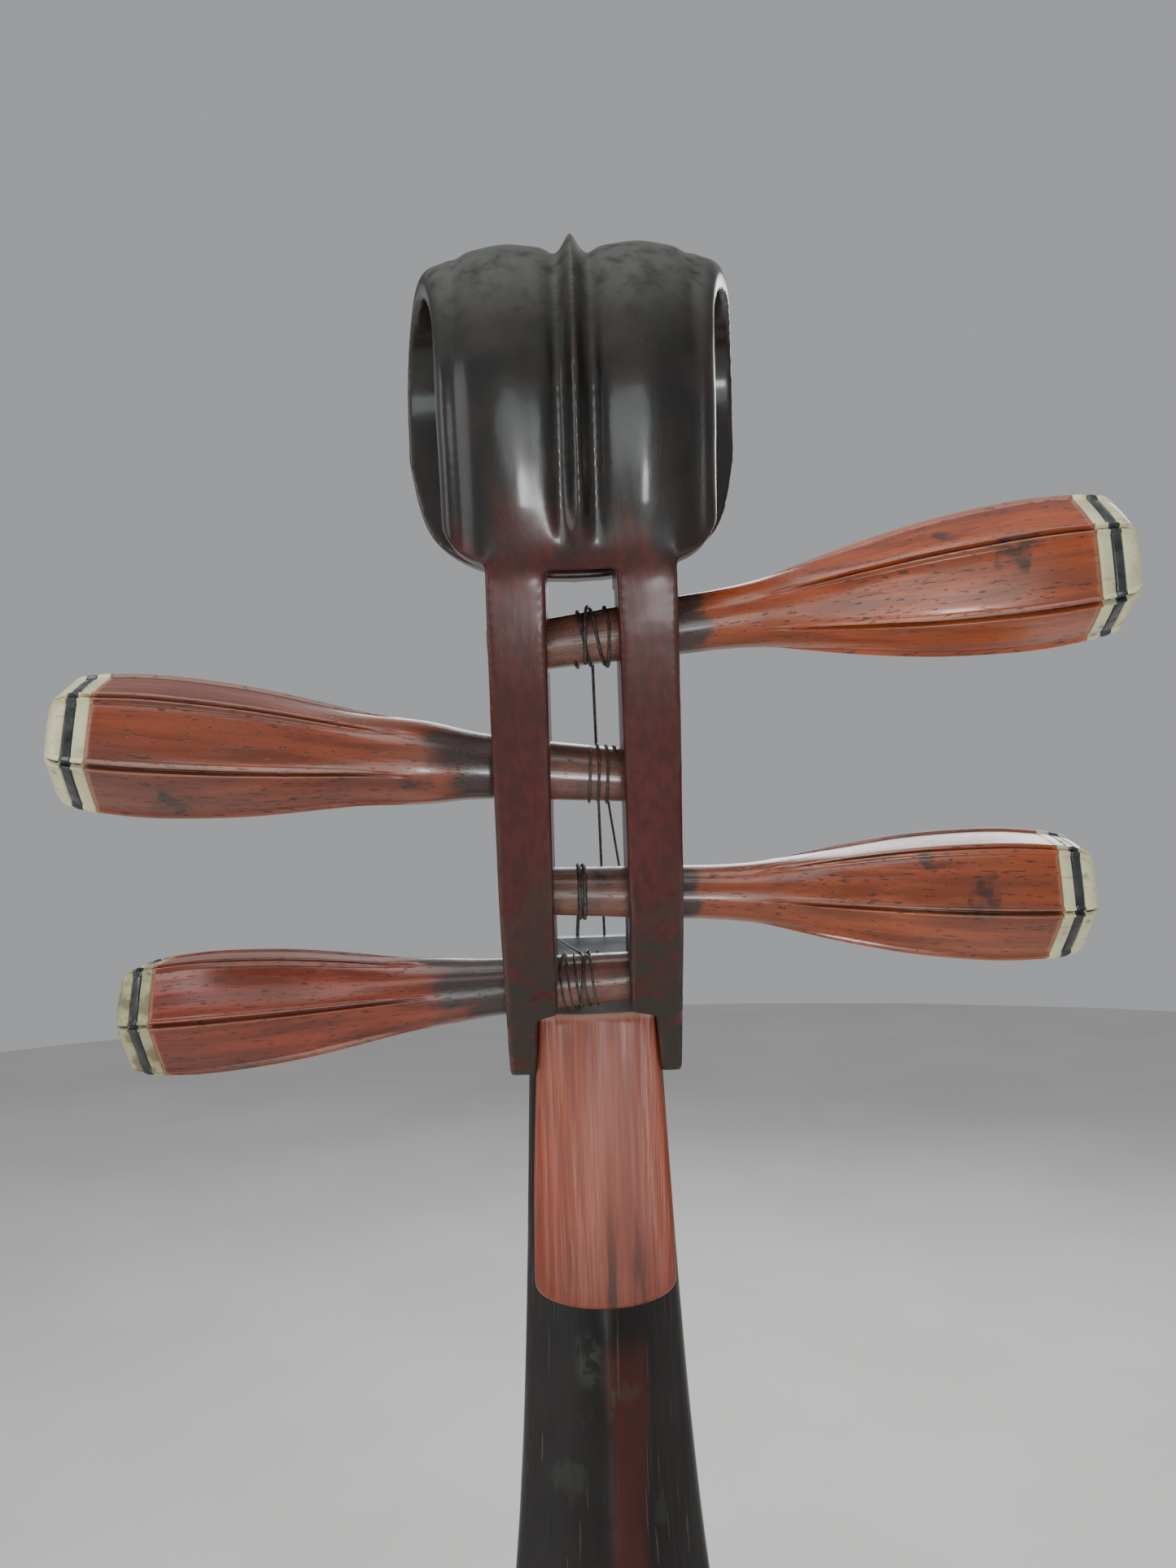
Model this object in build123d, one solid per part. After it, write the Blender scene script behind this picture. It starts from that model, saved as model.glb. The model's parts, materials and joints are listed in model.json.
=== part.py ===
from build123d import *
import os
from math import asin, cos, hypot, radians, sin

# A four-string plucked lute (pipa). Millimetres. +Z runs along the neck towards the head,
# the soundboard and strings face -Y, the carved back faces +Y, and the origin is the centre
# of the small flat at the tail.

# ---- body and neck ----
FRONT_Y = -8.0            # plane of the soundboard's face and of the neck's front
BOARD_THICK = 5.0
SEAM_Y = FRONT_Y + BOARD_THICK
BOARD_TOP_Z = 556.0       # upper end of the soundboard, on the neck
NECK_TOP_Z = 734.0        # shoulder where the neck enters the pegbox
TENON_TOP_Z = 757.0
TAIL_FLAT_HALF = 20.0
RIM_Y = 2.0               # height at which the back's curve meets the rim
WALL = 6.0
CAVITY_FROM, CAVITY_TO = 16.0, 500.0
NECK_TOP_HALF, CAVITY_TOP_HALF = 15.8, 12.0

# stations up the body: height, half width of the outline, crown of the back, power of the arch
STATIONS = [
    (8, 60, 13, 2.2), (32, 97, 20, 2.2), (68, 121, 26.5, 2.2), (118, 134, 31, 2.2),
    (175, 129.5, 32.5, 2.2), (245, 109, 31.5, 2.2), (325, 83, 28.5, 2.1), (400, 60.5, 25, 2.0),
    (475, 42.5, 21.5, 1.9), (545, 31, 19, 1.8), (612, 23.2, 17.8, 1.7), (645, 20.3, 17.6, 1.6),
    (680, 18.2, 17.8, 1.6), (734, 15.8, 18, 1.6),
]
WIDEST_Z = 118
ARCH_REACH = 1.04         # the arch is drawn this much wider than the outline
ARCH_PARTS = (-1, -0.75, -0.45, -0.2, 0, 0.2, 0.45, 0.75, 1)

# ---- heel block let into the back of the neck joint ----
BLOCK_SEAT_Y = 11.5
BLOCK_BACK_Y = 18.6
BLOCK_X = -0.6            # it sits a little off the centre line
BLOCK_TOP_Z, BLOCK_BOTTOM_Z = 748.8, 680.5
BLOCK_TOP_HALF, BLOCK_BOTTOM_HALF = 13.2, 16.2

# ---- pegbox: (y, z) of the line through the peg holes, bottom to top ----
PEG_POINTS = {4: (17.5, 756.0), 3: (34.5, 777.5), 2: (47.0, 803.0), 1: (58.2, 829.3)}
PEG_LEANS = {4: 40.0, 3: 31.0, 2: 24.0, 1: 20.0}      # lean of the pegbox at each peg, degrees
PEG_SIDES = {1: -1, 2: 1, 3: -1, 4: 1}                # side of the knob along X
PEG_TILTS = {1: 6.4, 2: 6.0, 3: -2.8, 4: -4.4}        # knob raised towards the head, degrees
CHEEK_DEPTH = 25.5
PEGBOX_HALF_TOP, PEGBOX_HALF_BOTTOM = 17.2, 19.6
SLOT_HALF_TOP, SLOT_HALF_BOTTOM = 6.4, 8.6
SLOT_HIGH_Z = 852.0
PEGBOX_LOW_Z, PEGBOX_HIGH_Z = 734.0, 870.0

# ---- head: a fluted strip that rises from the pegbox and curls forwards ----
CURL_RADIUS = 27.0        # outer radius of the curl
CURL_CENTRE = (57.3, 877.2)
CURL_START = 13.0         # lean of the strip where the curl begins, degrees
HEAD_FOOT = (74.2, 834.0) # outer face where the strip starts, hidden in the pegbox
STRIP_HALF_FOOT = 25.3
STRIP_THICK, TONGUE_THICK = 10.0, 7.5
TONGUE_TIP_Z, TONGUE_ROUND_Z, TONGUE_HALF = 843.5, 873.0, 35.6
TONGUE_STEPS = [(10, 0.2, -182), (20, 0.8, -184), (30, 1.7, -186), (40, 3.0, -188)]  # drop, inward, lean
SHOULDER_Z, SHOULDER_CORNER = 842.0, 10.0
FOOT_LEAN, PLATE_PARTS, CURL_PARTS = 15.0, 4, 9
CROWN = 5.0               # height of the strip's lobes above its edges

# ---- pegs: (distance from the near cheek, corner radius); the knob is six-sided ----
PEG_EXPOSED = 90.0
RING_WHITE, RING_BLACK = 2.7, 2.2
CAP_LENGTH = 4.8
KNOB_STATIONS = [(22, 7.6), (34, 10.3), (48, 12.9), (60, 14.1), (70, 14.3), (80.3, 13.6)]
NECK_STATIONS = [(0, 0.0), (8, 0.3), (16, 1.2), (24, 2.4), (34, 3.6), (46, 4.2)]
SHAFT_NEAR = {1: 5.6, 2: 6.3, 3: 5.7, 4: 6.4}         # radius at the near cheek's face
SHAFT_FAR = {1: 4.6, 2: 5.0, 3: 4.8, 4: 5.0}          # radius at the far cheek's face
FACET_TURN = {1: 14.7, 2: 4.8, 3: 40.2, 4: 39.9}       # rotation of the six sides, degrees
BORE_PLAY = 0.05          # radial running clearance in the cheeks
NOTCH_DEPTH, NOTCH_HALF = 0.7, 4.0                    # groove along each corner: depth, degrees

# ---- strings ----
STRING_RADIUS = {1: 0.32, 2: 0.28, 3: 0.45, 4: 0.25}
STRING_NUT_X = {1: -3.4, 2: -10.0, 3: 3.4, 4: 10.0}
STRING_BRIDGE_X = {1: -11.0, 2: -33.0, 3: 11.0, 4: 33.0}
WINDING_X = {1: -1.7, 2: -2.8, 3: 2.0, 4: 2.8}         # middle of the turns on each shaft
WINDING_HALF = {1: 3.8, 2: 2.6, 3: 0.9, 4: 4.2}
NUT_TOP_Y, NUT_TOP_Z = -19.5, 761.0
BRIDGE_Z, BRIDGE_LOW_Z, BRIDGE_TOP_Y, BRIDGE_HALF = 84.0, 56.0, -26.0, 62.0
STRING_BRIDGE_Y = -22.0   # height at which the strings leave the bridge's upper face
STRING_GAP = 0.35         # a string stops this far from its turns, which move with the peg

# ---- inside ----
BEAM_LOWER_Z, BEAM_UPPER_Z, BEAM_DEPTH, BEAM_WIDE = 150.0, 300.0, 13.0, 11.0
POST_RADIUS = 4.0

# ---- frets ----
SCALE_STEPS_XIANG = (2, 3, 4, 5)
SCALE_STEPS_FRET = (7, 9, 10, 12, 14, 16, 17, 19, 21, 22, 24, 26)
SEMITONE = 2 ** (1 / 12)
SCALE = NUT_TOP_Z - BRIDGE_Z
XIANG_BASE, FRET_BASE, FRET_CREST, FRET_OVERHANG, FRET_BEVEL = 26.0, 6.0, 2.0, 5.0, 2.0
XIANG_CLEAR, FRET_CLEAR = 1.3, 1.8                    # gap from crest to string plane


def v(x, y, z):
    return Vector(x, y, z)


def prism(edges, direction):
    """Solid swept straight from a closed chain of edges."""
    return Solid.extrude(Face(Wire(edges)), Vector(*direction))


def polyline(points):
    return [Line(a, b) for a, b in zip(points, points[1:] + points[:1])]


def box(x0, x1, y0, y1, z0, z1):
    return Pos((x0 + x1) / 2, (y0 + y1) / 2, (z0 + z1) / 2) * Box(x1 - x0, y1 - y0, z1 - z0)


def outline(y, inset, z_low, z_high, top_half):
    """Pear-shaped outline as edges in the plane at depth y, moved in by inset."""
    flat = TAIL_FLAT_HALF - 0.5 * inset
    right = [v(flat, y, z_low)]
    for z, half, _, _ in STATIONS:
        if z_low + 4 < z < z_high - 4:
            right.append(v(half - inset, y, z))
    right.append(v(top_half, y, z_high))
    left = [v(-p.X, y, p.Z) for p in reversed(right)]
    return [Spline(*right), Line(right[-1], left[0]), Spline(*left), Line(left[-1], right[0])]


def arch_section(z, half, crown, power, inset):
    """Cross-section at height z: flat in front, arched at the back."""
    crown_in = crown - inset
    points = []
    for part in ARCH_PARTS:
        drop = (abs(part) * ARCH_REACH) ** power * (crown_in - (RIM_Y - 0.6 * inset))
        points.append(v(part * ARCH_REACH * half, crown_in - drop, z))
    low = FRONT_Y - 14
    corners = [v(-ARCH_REACH * half, low, z), v(ARCH_REACH * half, low, z)]
    return Wire([Spline(*points), Line(points[-1], corners[1]),
                 Line(corners[1], corners[0]), Line(corners[0], points[0])])


def arched_solid(inset):
    """Loft through the cross-sections from below the tail to the neck's upper end."""
    sections = [arch_section(-12, 134, 3, 2.2, inset)]
    for z, half, crown, power in STATIONS:
        sections.append(arch_section(z, 134 if z < WIDEST_Z else half, crown, power, inset))
    return Solid.make_loft(sections)


def make_body():
    """Back and neck carved in one piece, the soundboard, and the cavity between them."""
    pear = outline(FRONT_Y, 0, 0, NECK_TOP_Z, NECK_TOP_HALF)
    hollow = outline(SEAM_Y, WALL, CAVITY_FROM, CAVITY_TO, CAVITY_TOP_HALF)
    shell = arched_solid(0) & prism(pear, (0, 60, 0))
    board = prism(pear, (0, BOARD_THICK, 0))
    board = board & box(-200, 200, FRONT_Y, SEAM_Y, 0, BOARD_TOP_Z)
    shell = shell - box(-200, 200, FRONT_Y - 1, SEAM_Y, -1, BOARD_TOP_Z)
    cavity = arched_solid(WALL) & prism(hollow, (0, 60, 0))
    tenon_side = [v(-30, FRONT_Y, NECK_TOP_Z - 0.5), v(-30, FRONT_Y, TENON_TOP_Z), v(-30, -2, TENON_TOP_Z),
                  v(-30, 3, 753.0), v(-30, 8, 752.2), v(-30, BLOCK_SEAT_Y, 750.8),
                  v(-30, BLOCK_SEAT_Y, NECK_TOP_Z - 0.5)]
    tenon = prism(polyline(tenon_side), (60, 0, 0)) & slot_outline()
    shell = shell - cavity + tenon
    sound_hole = Pos(0, 0, 72) * Rot(90, 0, 0) * Cylinder(4.5, 60)
    return shell, board - sound_hole, cavity


def block_blank(depth):
    """Outline of the heel block, swept backwards: domed top, spreading sides, rounded end."""
    top, low = BLOCK_TOP_Z, BLOCK_BOTTOM_Z
    a, b, y = BLOCK_TOP_HALF, BLOCK_BOTTOM_HALF, BLOCK_SEAT_Y
    right_top, left_top = v(BLOCK_X + a, y, top), v(BLOCK_X - a, y, top)
    right_low, left_low = v(BLOCK_X + b, y, low + 6), v(BLOCK_X - b, y, low + 6)
    middle, spread = (top + low) / 2, (a + b) / 2 + 0.5
    edges = [
        ThreePointArc(left_top, v(BLOCK_X, y, top + 2.0), right_top),
        Spline(right_top, v(BLOCK_X + spread, y, middle), right_low),
        Spline(right_low, v(BLOCK_X + 0.6 * b, y, low + 1.2), v(BLOCK_X, y, low),
               v(BLOCK_X - 0.6 * b, y, low + 1.2), left_low,
               tangents=[(-0.3, 0, -1), (-0.3, 0, 1)]),
        Spline(left_low, v(BLOCK_X - spread, y, middle), left_top),
    ]
    return prism(edges, (0, depth, 0))


def make_block():
    """Heel block: its outline, under a convex back face and a sloping top end."""
    low, edge_y = BLOCK_BOTTOM_Z - 5, BLOCK_BACK_Y - 3.6
    crown = [ThreePointArc(v(-24, edge_y, low), v(0, BLOCK_BACK_Y, low), v(24, edge_y, low)),
             Line(v(24, edge_y, low), v(24, 0, low)), Line(v(24, 0, low), v(-24, 0, low)),
             Line(v(-24, 0, low), v(-24, edge_y, low))]
    end_slope = polyline([v(-30, BLOCK_SEAT_Y - 1, 670), v(-30, BLOCK_SEAT_Y - 1, 750.9),
                          v(-30, BLOCK_BACK_Y + 1, 747.9), v(-30, BLOCK_BACK_Y + 1, 670)])
    return block_blank(12) & prism(crown, (0, 0, 90)) & prism(end_slope, (60, 0, 0))


def frame_at(angle):
    """Directions along and out of a strip that leans back by angle (degrees from +Z)."""
    a = radians(angle)
    return v(0, sin(a), cos(a)), v(0, cos(a), -sin(a))


def taper_outline(half_low, half_high, z_low, z_high):
    """Front view of a tapering bar, swept through the whole depth."""
    points = [v(-half_low, -30, z_low), v(half_low, -30, z_low),
              v(half_high, -30, z_high), v(-half_high, -30, z_high)]
    return prism(polyline(points), (0, 150, 0))


def slot_outline():
    """Front view of the slot, a little narrower at the top; the neck's tenon fills its lower end."""
    return taper_outline(SLOT_HALF_BOTTOM, SLOT_HALF_TOP, PEGBOX_LOW_Z - 10, SLOT_HIGH_Z)


def pegbox_profile():
    """Side view of the cheeks: two curves, offset to both sides of the peg line."""
    front, back = [], []
    for n in (4, 3, 2, 1):
        y, z = PEG_POINTS[n]
        _, out = frame_at(PEG_LEANS[n])
        front.append(v(-30, y - out.Y * CHEEK_DEPTH / 2, z - out.Z * CHEEK_DEPTH / 2))
        back.append(v(-30, y + out.Y * CHEEK_DEPTH / 2, z + out.Z * CHEEK_DEPTH / 2))
    front += [v(-30, 52, 848), v(-30, 67, 862)]
    back += [v(-30, 74.2, 840), v(-30, 75.5, 853), v(-30, 75.5, 861)]
    front_curve = Spline(v(-30, FRONT_Y, 749), *front)
    back_curve = Spline(v(-30, 19.0, 735.5), *back)
    low_front, low_back = v(-30, FRONT_Y, PEGBOX_LOW_Z), v(-30, 16.5, PEGBOX_LOW_Z)
    return [front_curve, Line(front[-1], back[-1]), back_curve,
            Line(v(-30, 19.0, 735.5), low_back), Line(low_back, low_front),
            Line(low_front, v(-30, FRONT_Y, 749))]


def slot_profile():
    """Side view of the open slot: square to the pegbox at the top, clear of the tongue in front."""
    under_tongue = TONGUE_TIP_Z - 1.0
    return polyline([v(-30, -30, 720), v(-30, 46, 720), v(-30, 110, 830), v(-30, 74.7, 840.4),
                     v(-30, 51, 847.4), v(-30, 45, under_tongue), v(-30, -30, under_tongue)])


def flute(part):
    """Relief of the strip's outer face across its width, part = -1..1: lobes, ridge, rims."""
    x = abs(part)
    lobe_at = 0.46
    if x < lobe_at:
        lobe = CROWN - 0.9 * ((lobe_at - x) / lobe_at) ** 2
    else:
        lobe = CROWN * (1 - ((x - lobe_at) / (1 - lobe_at)) ** 2.2)
    ridge = 2.1 * max(0.0, 1 - x / 0.08) ** 1.4
    rim = 0.9 * max(0.0, 1 - ((x - 0.95) / 0.045) ** 2)
    return lobe + ridge + rim


def strip_section(origin, lean, half, thick):
    """Closed cross-section of the head's strip: fluted outside, flat inside."""
    _, out = frame_at(lean)
    side = (0.04, 0.08, 0.16, 0.3, 0.46, 0.62, 0.78, 0.88, 0.92, 0.95, 0.98, 1.0)
    parts = [-p for p in reversed(side)] + [0.0] + list(side)
    outer = [origin + v(p * half, 0, 0) + out * (flute(p) - CROWN) for p in parts]
    inner = [origin + v(s * half, 0, 0) - out * thick for s in (1, -1)]
    return Wire([Spline(*outer), Line(outer[-1], inner[0]), Line(inner[0], inner[1]),
                 Line(inner[1], outer[0])])


def strip_half(part):
    """Half width of the strip round the curl, part = 0 behind .. 1 in front."""
    rise = min(1.0, max(0.0, (part - 0.1) / 0.9))
    return STRIP_HALF_FOOT + (TONGUE_HALF - STRIP_HALF_FOOT) * rise * rise * (3 - 2 * rise)


def make_strip():
    """The strip before its ends are rounded: plate, curl and tongue."""
    cy, cz = CURL_CENTRE
    centre = v(0, cy, cz)
    _, out = frame_at(CURL_START)
    start = centre + out * CURL_RADIUS
    foot = v(0, *HEAD_FOOT)
    rise = start - foot
    sections = []
    for i in range(PLATE_PARTS):
        part = i / PLATE_PARTS
        lean = FOOT_LEAN + part * (CURL_START - FOOT_LEAN)
        bow = out * (0.6 * sin(radians(180 * part)))
        sections.append(strip_section(foot + rise * part + bow, lean, STRIP_HALF_FOOT, STRIP_THICK))
    for i in range(CURL_PARTS + 1):
        part = i / CURL_PARTS
        lean = CURL_START - part * (180 + CURL_START)
        _, out = frame_at(lean)
        thick = STRIP_THICK + part * (TONGUE_THICK - STRIP_THICK)
        sections.append(strip_section(centre + out * CURL_RADIUS, lean, strip_half(part), thick))
    front_y = cy - CURL_RADIUS
    for drop, inward, lean in TONGUE_STEPS:
        origin = v(0, front_y + inward, cz - drop)
        sections.append(strip_section(origin, lean, TONGUE_HALF, TONGUE_THICK))
    return Solid.make_loft(sections)


def tongue_region():
    """Front view of the tongue's rounded end, swept through the front half of the curl."""
    high, wide = 960, 60
    y = -20
    right = [v(TONGUE_HALF + 2.4, y, TONGUE_ROUND_Z + 6), v(TONGUE_HALF - 0.8, y, TONGUE_ROUND_Z - 8),
             v(30.5, y, TONGUE_TIP_Z + 9), v(17, y, TONGUE_TIP_Z + 1.7)]
    left = [v(-p.X, y, p.Z) for p in right]
    edges = [
        Spline(*left, v(0, y, TONGUE_TIP_Z), *reversed(right)),
        Line(right[0], v(wide, y, right[0].Z)),
        Line(v(wide, y, right[0].Z), v(wide, y, high)),
        Line(v(wide, y, high), v(-wide, y, high)),
        Line(v(-wide, y, high), v(-wide, y, right[0].Z)),
        Line(v(-wide, y, right[0].Z), left[0]),
    ]
    return prism(edges, (0, 65, 0))


def shoulder_region():
    """Front view of the plate's rounded lower corners, swept through the back half."""
    high, wide, y = 960, 50, 45
    a, c, low = STRIP_HALF_FOOT + 0.4, SHOULDER_CORNER, SHOULDER_Z
    d = c * (1 - cos(radians(45)))
    edges = [
        Line(v(-a + c, y, low), v(a - c, y, low)),
        ThreePointArc(v(a - c, y, low), v(a - d, y, low + d), v(a, y, low + c)),
        Line(v(a, y, low + c), v(wide, y, high)),
        Line(v(wide, y, high), v(-wide, y, high)),
        Line(v(-wide, y, high), v(-a, y, low + c)),
        ThreePointArc(v(-a, y, low + c), v(-a + d, y, low + d), v(-a + c, y, low)),
    ]
    return prism(edges, (0, 90, 0))


def peg_axis(n):
    """Point and direction (towards the knob) of peg n, and the direction facing backwards."""
    along, out = frame_at(PEG_LEANS[n])
    tilt = radians(PEG_TILTS[n])
    direction = v(PEG_SIDES[n] * cos(tilt), 0, 0) + along * sin(tilt)
    return v(0, *PEG_POINTS[n]), direction, out


def peg_plane(n):
    """Local frame of peg n: +Z towards the knob, +X facing the back of the instrument."""
    origin, direction, out = peg_axis(n)
    return Plane(origin=origin, x_dir=out, z_dir=direction)


def half_span(n):
    """Distance along peg n from the slot's middle to either cheek's outer face."""
    part = (PEG_POINTS[n][1] - PEGBOX_LOW_Z) / (PEGBOX_HIGH_Z - PEGBOX_LOW_Z)
    half = PEGBOX_HALF_BOTTOM + part * (PEGBOX_HALF_TOP - PEGBOX_HALF_BOTTOM)
    return half / cos(radians(PEG_TILTS[n]))


def shaft_radius(n, u):
    """Radius of the tapered shaft at distance u from the slot's middle."""
    span = half_span(n)
    return SHAFT_FAR[n] + (u + span) / (2 * span) * (SHAFT_NEAR[n] - SHAFT_FAR[n])


def make_bores(n):
    """Tapered hole through both cheeks, with running play."""
    span = half_span(n) + 8
    base = peg_plane(n)
    start = base.origin - base.z_dir * span
    plane = Plane(origin=start, x_dir=base.x_dir, z_dir=base.z_dir)
    return Solid.make_cone(shaft_radius(n, -span) + BORE_PLAY, shaft_radius(n, span) + BORE_PLAY,
                           2 * span, plane)


def make_pegbox_head():
    """Cheeks with the open slot, and the curled head, carved as one piece."""
    cheeks = prism(pegbox_profile(), (60, 0, 0))
    cheeks = cheeks & taper_outline(PEGBOX_HALF_BOTTOM, PEGBOX_HALF_TOP, PEGBOX_LOW_Z, PEGBOX_HIGH_Z)
    strip = make_strip()
    strip = strip & (tongue_region() + shoulder_region())
    slot = prism(slot_profile(), (60, 0, 0)) & slot_outline()
    piece = cheeks + strip - slot - block_blank(60)
    for n in PEG_POINTS:
        piece = piece - make_bores(n)
    return piece


def notched_hexagon(n, radius, u):
    """Six-sided section with a groove at each corner and slightly crowned sides."""
    points = []
    for k in range(6):
        corner = FACET_TURN[n] + 60 * k
        for turn, r in ((-NOTCH_HALF, radius * 0.985), (0, radius - NOTCH_DEPTH),
                        (NOTCH_HALF, radius * 0.985), (30, radius * 0.885)):
            a = radians(corner + turn)
            points.append(v(r * cos(a), r * sin(a), u))
    return Wire(polyline(points))


def notched_bar(n, stations):
    return Solid.make_loft([notched_hexagon(n, r, u) for u, r in stations])


def turned(points):
    """Solid of revolution about the local Z axis from (radius, height) points."""
    path = [v(r, 0, u) for r, u in points]
    return Solid.revolve(Face(Wire(polyline(path))), 360, Axis.Z)


def make_peg(n):
    """Peg wood: tapered shaft, round neck and six-sided knob, then its rings and cap."""
    span, near = half_span(n), SHAFT_NEAR[n]
    stem = [(0.0, -span - 0.4), (shaft_radius(n, -span - 0.4), -span - 0.4)]
    stem += [(near + extra, span + d) for d, extra in NECK_STATIONS]
    stem += [(0.0, span + NECK_STATIONS[-1][0])]
    knob = notched_bar(n, [(span + d, r) for d, r in KNOB_STATIONS])
    wood = turned(stem) + knob
    end, radius = span + KNOB_STATIONS[-1][0], KNOB_STATIONS[-1][1]
    black_from, cap_from = end + RING_WHITE, end + RING_WHITE + RING_BLACK
    pieces = {
        "peg": wood,
        "peg_ring_white": notched_bar(n, [(end, radius), (black_from, radius - 0.3)]),
        "peg_ring_black": notched_bar(n, [(black_from, radius - 0.3), (cap_from, radius - 0.7)]),
    }
    tip = cap_from + CAP_LENGTH
    dome = Pos(0, 0, tip - 20) * Sphere(20)
    pieces["peg_cap"] = notched_bar(n, [(cap_from, radius - 0.7), (tip + 1, radius - 1.4)]) & dome
    return {name: peg_plane(n) * piece for name, piece in pieces.items()}


def make_winding(n):
    """String turns on the shaft: a sleeve with a ridge for each turn."""
    middle = WINDING_X[n] * PEG_SIDES[n]
    low, high = middle - WINDING_HALF[n], middle + WINDING_HALF[n]
    wire = 2 * STRING_RADIUS[n]
    turns = max(2, round((high - low) / wire))
    step = (high - low) / turns
    points = [(shaft_radius(n, high), high), (shaft_radius(n, low), low)]
    for i in range(turns):
        points.append((shaft_radius(n, low) + wire, low + (i + 0.25) * step))
        points.append((shaft_radius(n, low) + wire, low + (i + 0.75) * step))
        if i < turns - 1:
            points.append((shaft_radius(n, low) + 0.7 * wire, low + (i + 1) * step))
    return peg_plane(n) * turned(points)


def rod(a, b, radius):
    return Solid.make_cylinder(radius, (b - a).length, Plane(origin=a, z_dir=b - a))


def make_string(n):
    """Taut string from the bridge, over the nut, to the front of its peg."""
    r = STRING_RADIUS[n]
    bridge = v(STRING_BRIDGE_X[n], STRING_BRIDGE_Y, BRIDGE_Z)
    nut = v(STRING_NUT_X[n], NUT_TOP_Y - r - 0.02, NUT_TOP_Z + r + 0.02)
    origin, direction, _ = peg_axis(n)
    centre = origin + direction * (WINDING_X[n] / direction.X)
    reach = shaft_radius(n, WINDING_X[n] * PEG_SIDES[n]) + 3 * r + STRING_GAP
    dy, dz = centre.Y - nut.Y, centre.Z - nut.Z
    distance = hypot(dy, dz)
    turn = asin(reach / distance)
    run = (distance ** 2 - reach ** 2) ** 0.5
    uy, uz = dy / distance, dz / distance
    end = v(centre.X, nut.Y + run * (uy * cos(turn) - uz * sin(turn)),
            nut.Z + run * (uz * cos(turn) + uy * sin(turn)))
    return rod(bridge, nut, r) + Pos(*nut) * Sphere(r) + rod(nut, end, r)


def string_plane_y(z):
    part = (z - BRIDGE_Z) / (NUT_TOP_Z - BRIDGE_Z)
    return STRING_BRIDGE_Y + part * (NUT_TOP_Y - STRING_BRIDGE_Y)


def neck_half(z):
    """Half width of the outline at height z, between its stations."""
    for (z0, h0, _, _), (z1, h1, _, _) in zip(STATIONS, STATIONS[1:]):
        if z0 <= z <= z1:
            return h0 + (z - z0) / (z1 - z0) * (h1 - h0)


def make_xiang(steps):
    """Wedge fret on the neck, its crest just under the strings."""
    z = NUT_TOP_Z - SCALE * (1 - SEMITONE ** -steps)
    crest, half = string_plane_y(z) + XIANG_CLEAR, neck_half(z + XIANG_BASE / 2) - 1.0
    side = [v(-half, FRONT_Y, z - XIANG_BASE / 2), v(-half, crest, z - 0.8), v(-half, crest, z + 0.8),
            v(-half, FRONT_Y, z + XIANG_BASE / 2)]
    return prism(polyline(side), (2 * half, 0, 0))


def make_fret(steps):
    """Bamboo fret on the soundboard: a tall strip, wider than the strings' spread."""
    z = NUT_TOP_Z - SCALE * (1 - SEMITONE ** -steps)
    part = (NUT_TOP_Z - z) / (NUT_TOP_Z - BRIDGE_Z)
    half = STRING_NUT_X[4] + part * (STRING_BRIDGE_X[4] - STRING_NUT_X[4]) + FRET_OVERHANG
    crest = string_plane_y(z) + FRET_CLEAR
    side = [v(-half, FRONT_Y, z - FRET_BASE / 2), v(-half, crest, z - FRET_CREST / 2),
            v(-half, crest, z + FRET_CREST / 2), v(-half, FRONT_Y, z + FRET_BASE / 2)]
    low, inner = z - FRET_BASE, half - FRET_BEVEL
    front = [v(-half, FRONT_Y, low), v(-half, crest + FRET_BEVEL, low), v(-inner, crest, low),
             v(inner, crest, low), v(half, crest + FRET_BEVEL, low), v(half, FRONT_Y, low)]
    return prism(polyline(side), (2 * half, 0, 0)) & prism(polyline(front), (0, 0, 2 * FRET_BASE))


def make_nut():
    """Nut across the neck's end, leaning towards the head."""
    half = neck_half(NECK_TOP_Z - 1)
    side = [v(-half, FRONT_Y, 749), v(-half, FRONT_Y, TENON_TOP_Z), v(-half, NUT_TOP_Y + 3.5, NUT_TOP_Z),
            v(-half, NUT_TOP_Y, NUT_TOP_Z), v(-half, NUT_TOP_Y, NUT_TOP_Z - 3), v(-half, FRONT_Y - 4, 750)]
    return prism(polyline(side), (2 * half, 0, 0))


def make_bridge():
    """String holder: a wedge, highest at its upper edge, hollowed over the sound hole."""
    high, low = BRIDGE_Z, BRIDGE_LOW_Z
    side = [v(-70, FRONT_Y, low), v(-70, FRONT_Y - 6, low), v(-70, BRIDGE_TOP_Y, high - 5),
            v(-70, BRIDGE_TOP_Y, high), v(-70, FRONT_Y, high)]
    wedge = prism(polyline(side), (140, 0, 0))
    y = BRIDGE_TOP_Y - 1
    front = [
        Line(v(-BRIDGE_HALF, y, high), v(BRIDGE_HALF, y, high)),
        ThreePointArc(v(BRIDGE_HALF, y, high), v(BRIDGE_HALF - 2, y, high - 15), v(BRIDGE_HALF - 13, y, low)),
        Line(v(BRIDGE_HALF - 13, y, low), v(13 - BRIDGE_HALF, y, low)),
        ThreePointArc(v(13 - BRIDGE_HALF, y, low), v(2 - BRIDGE_HALF, y, high - 15), v(-BRIDGE_HALF, y, high)),
    ]
    recess = box(-7, 7, FRONT_Y - 4, FRONT_Y, low - 1, high - 5)
    return (wedge & prism(front, (0, 30, 0))) - recess


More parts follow.
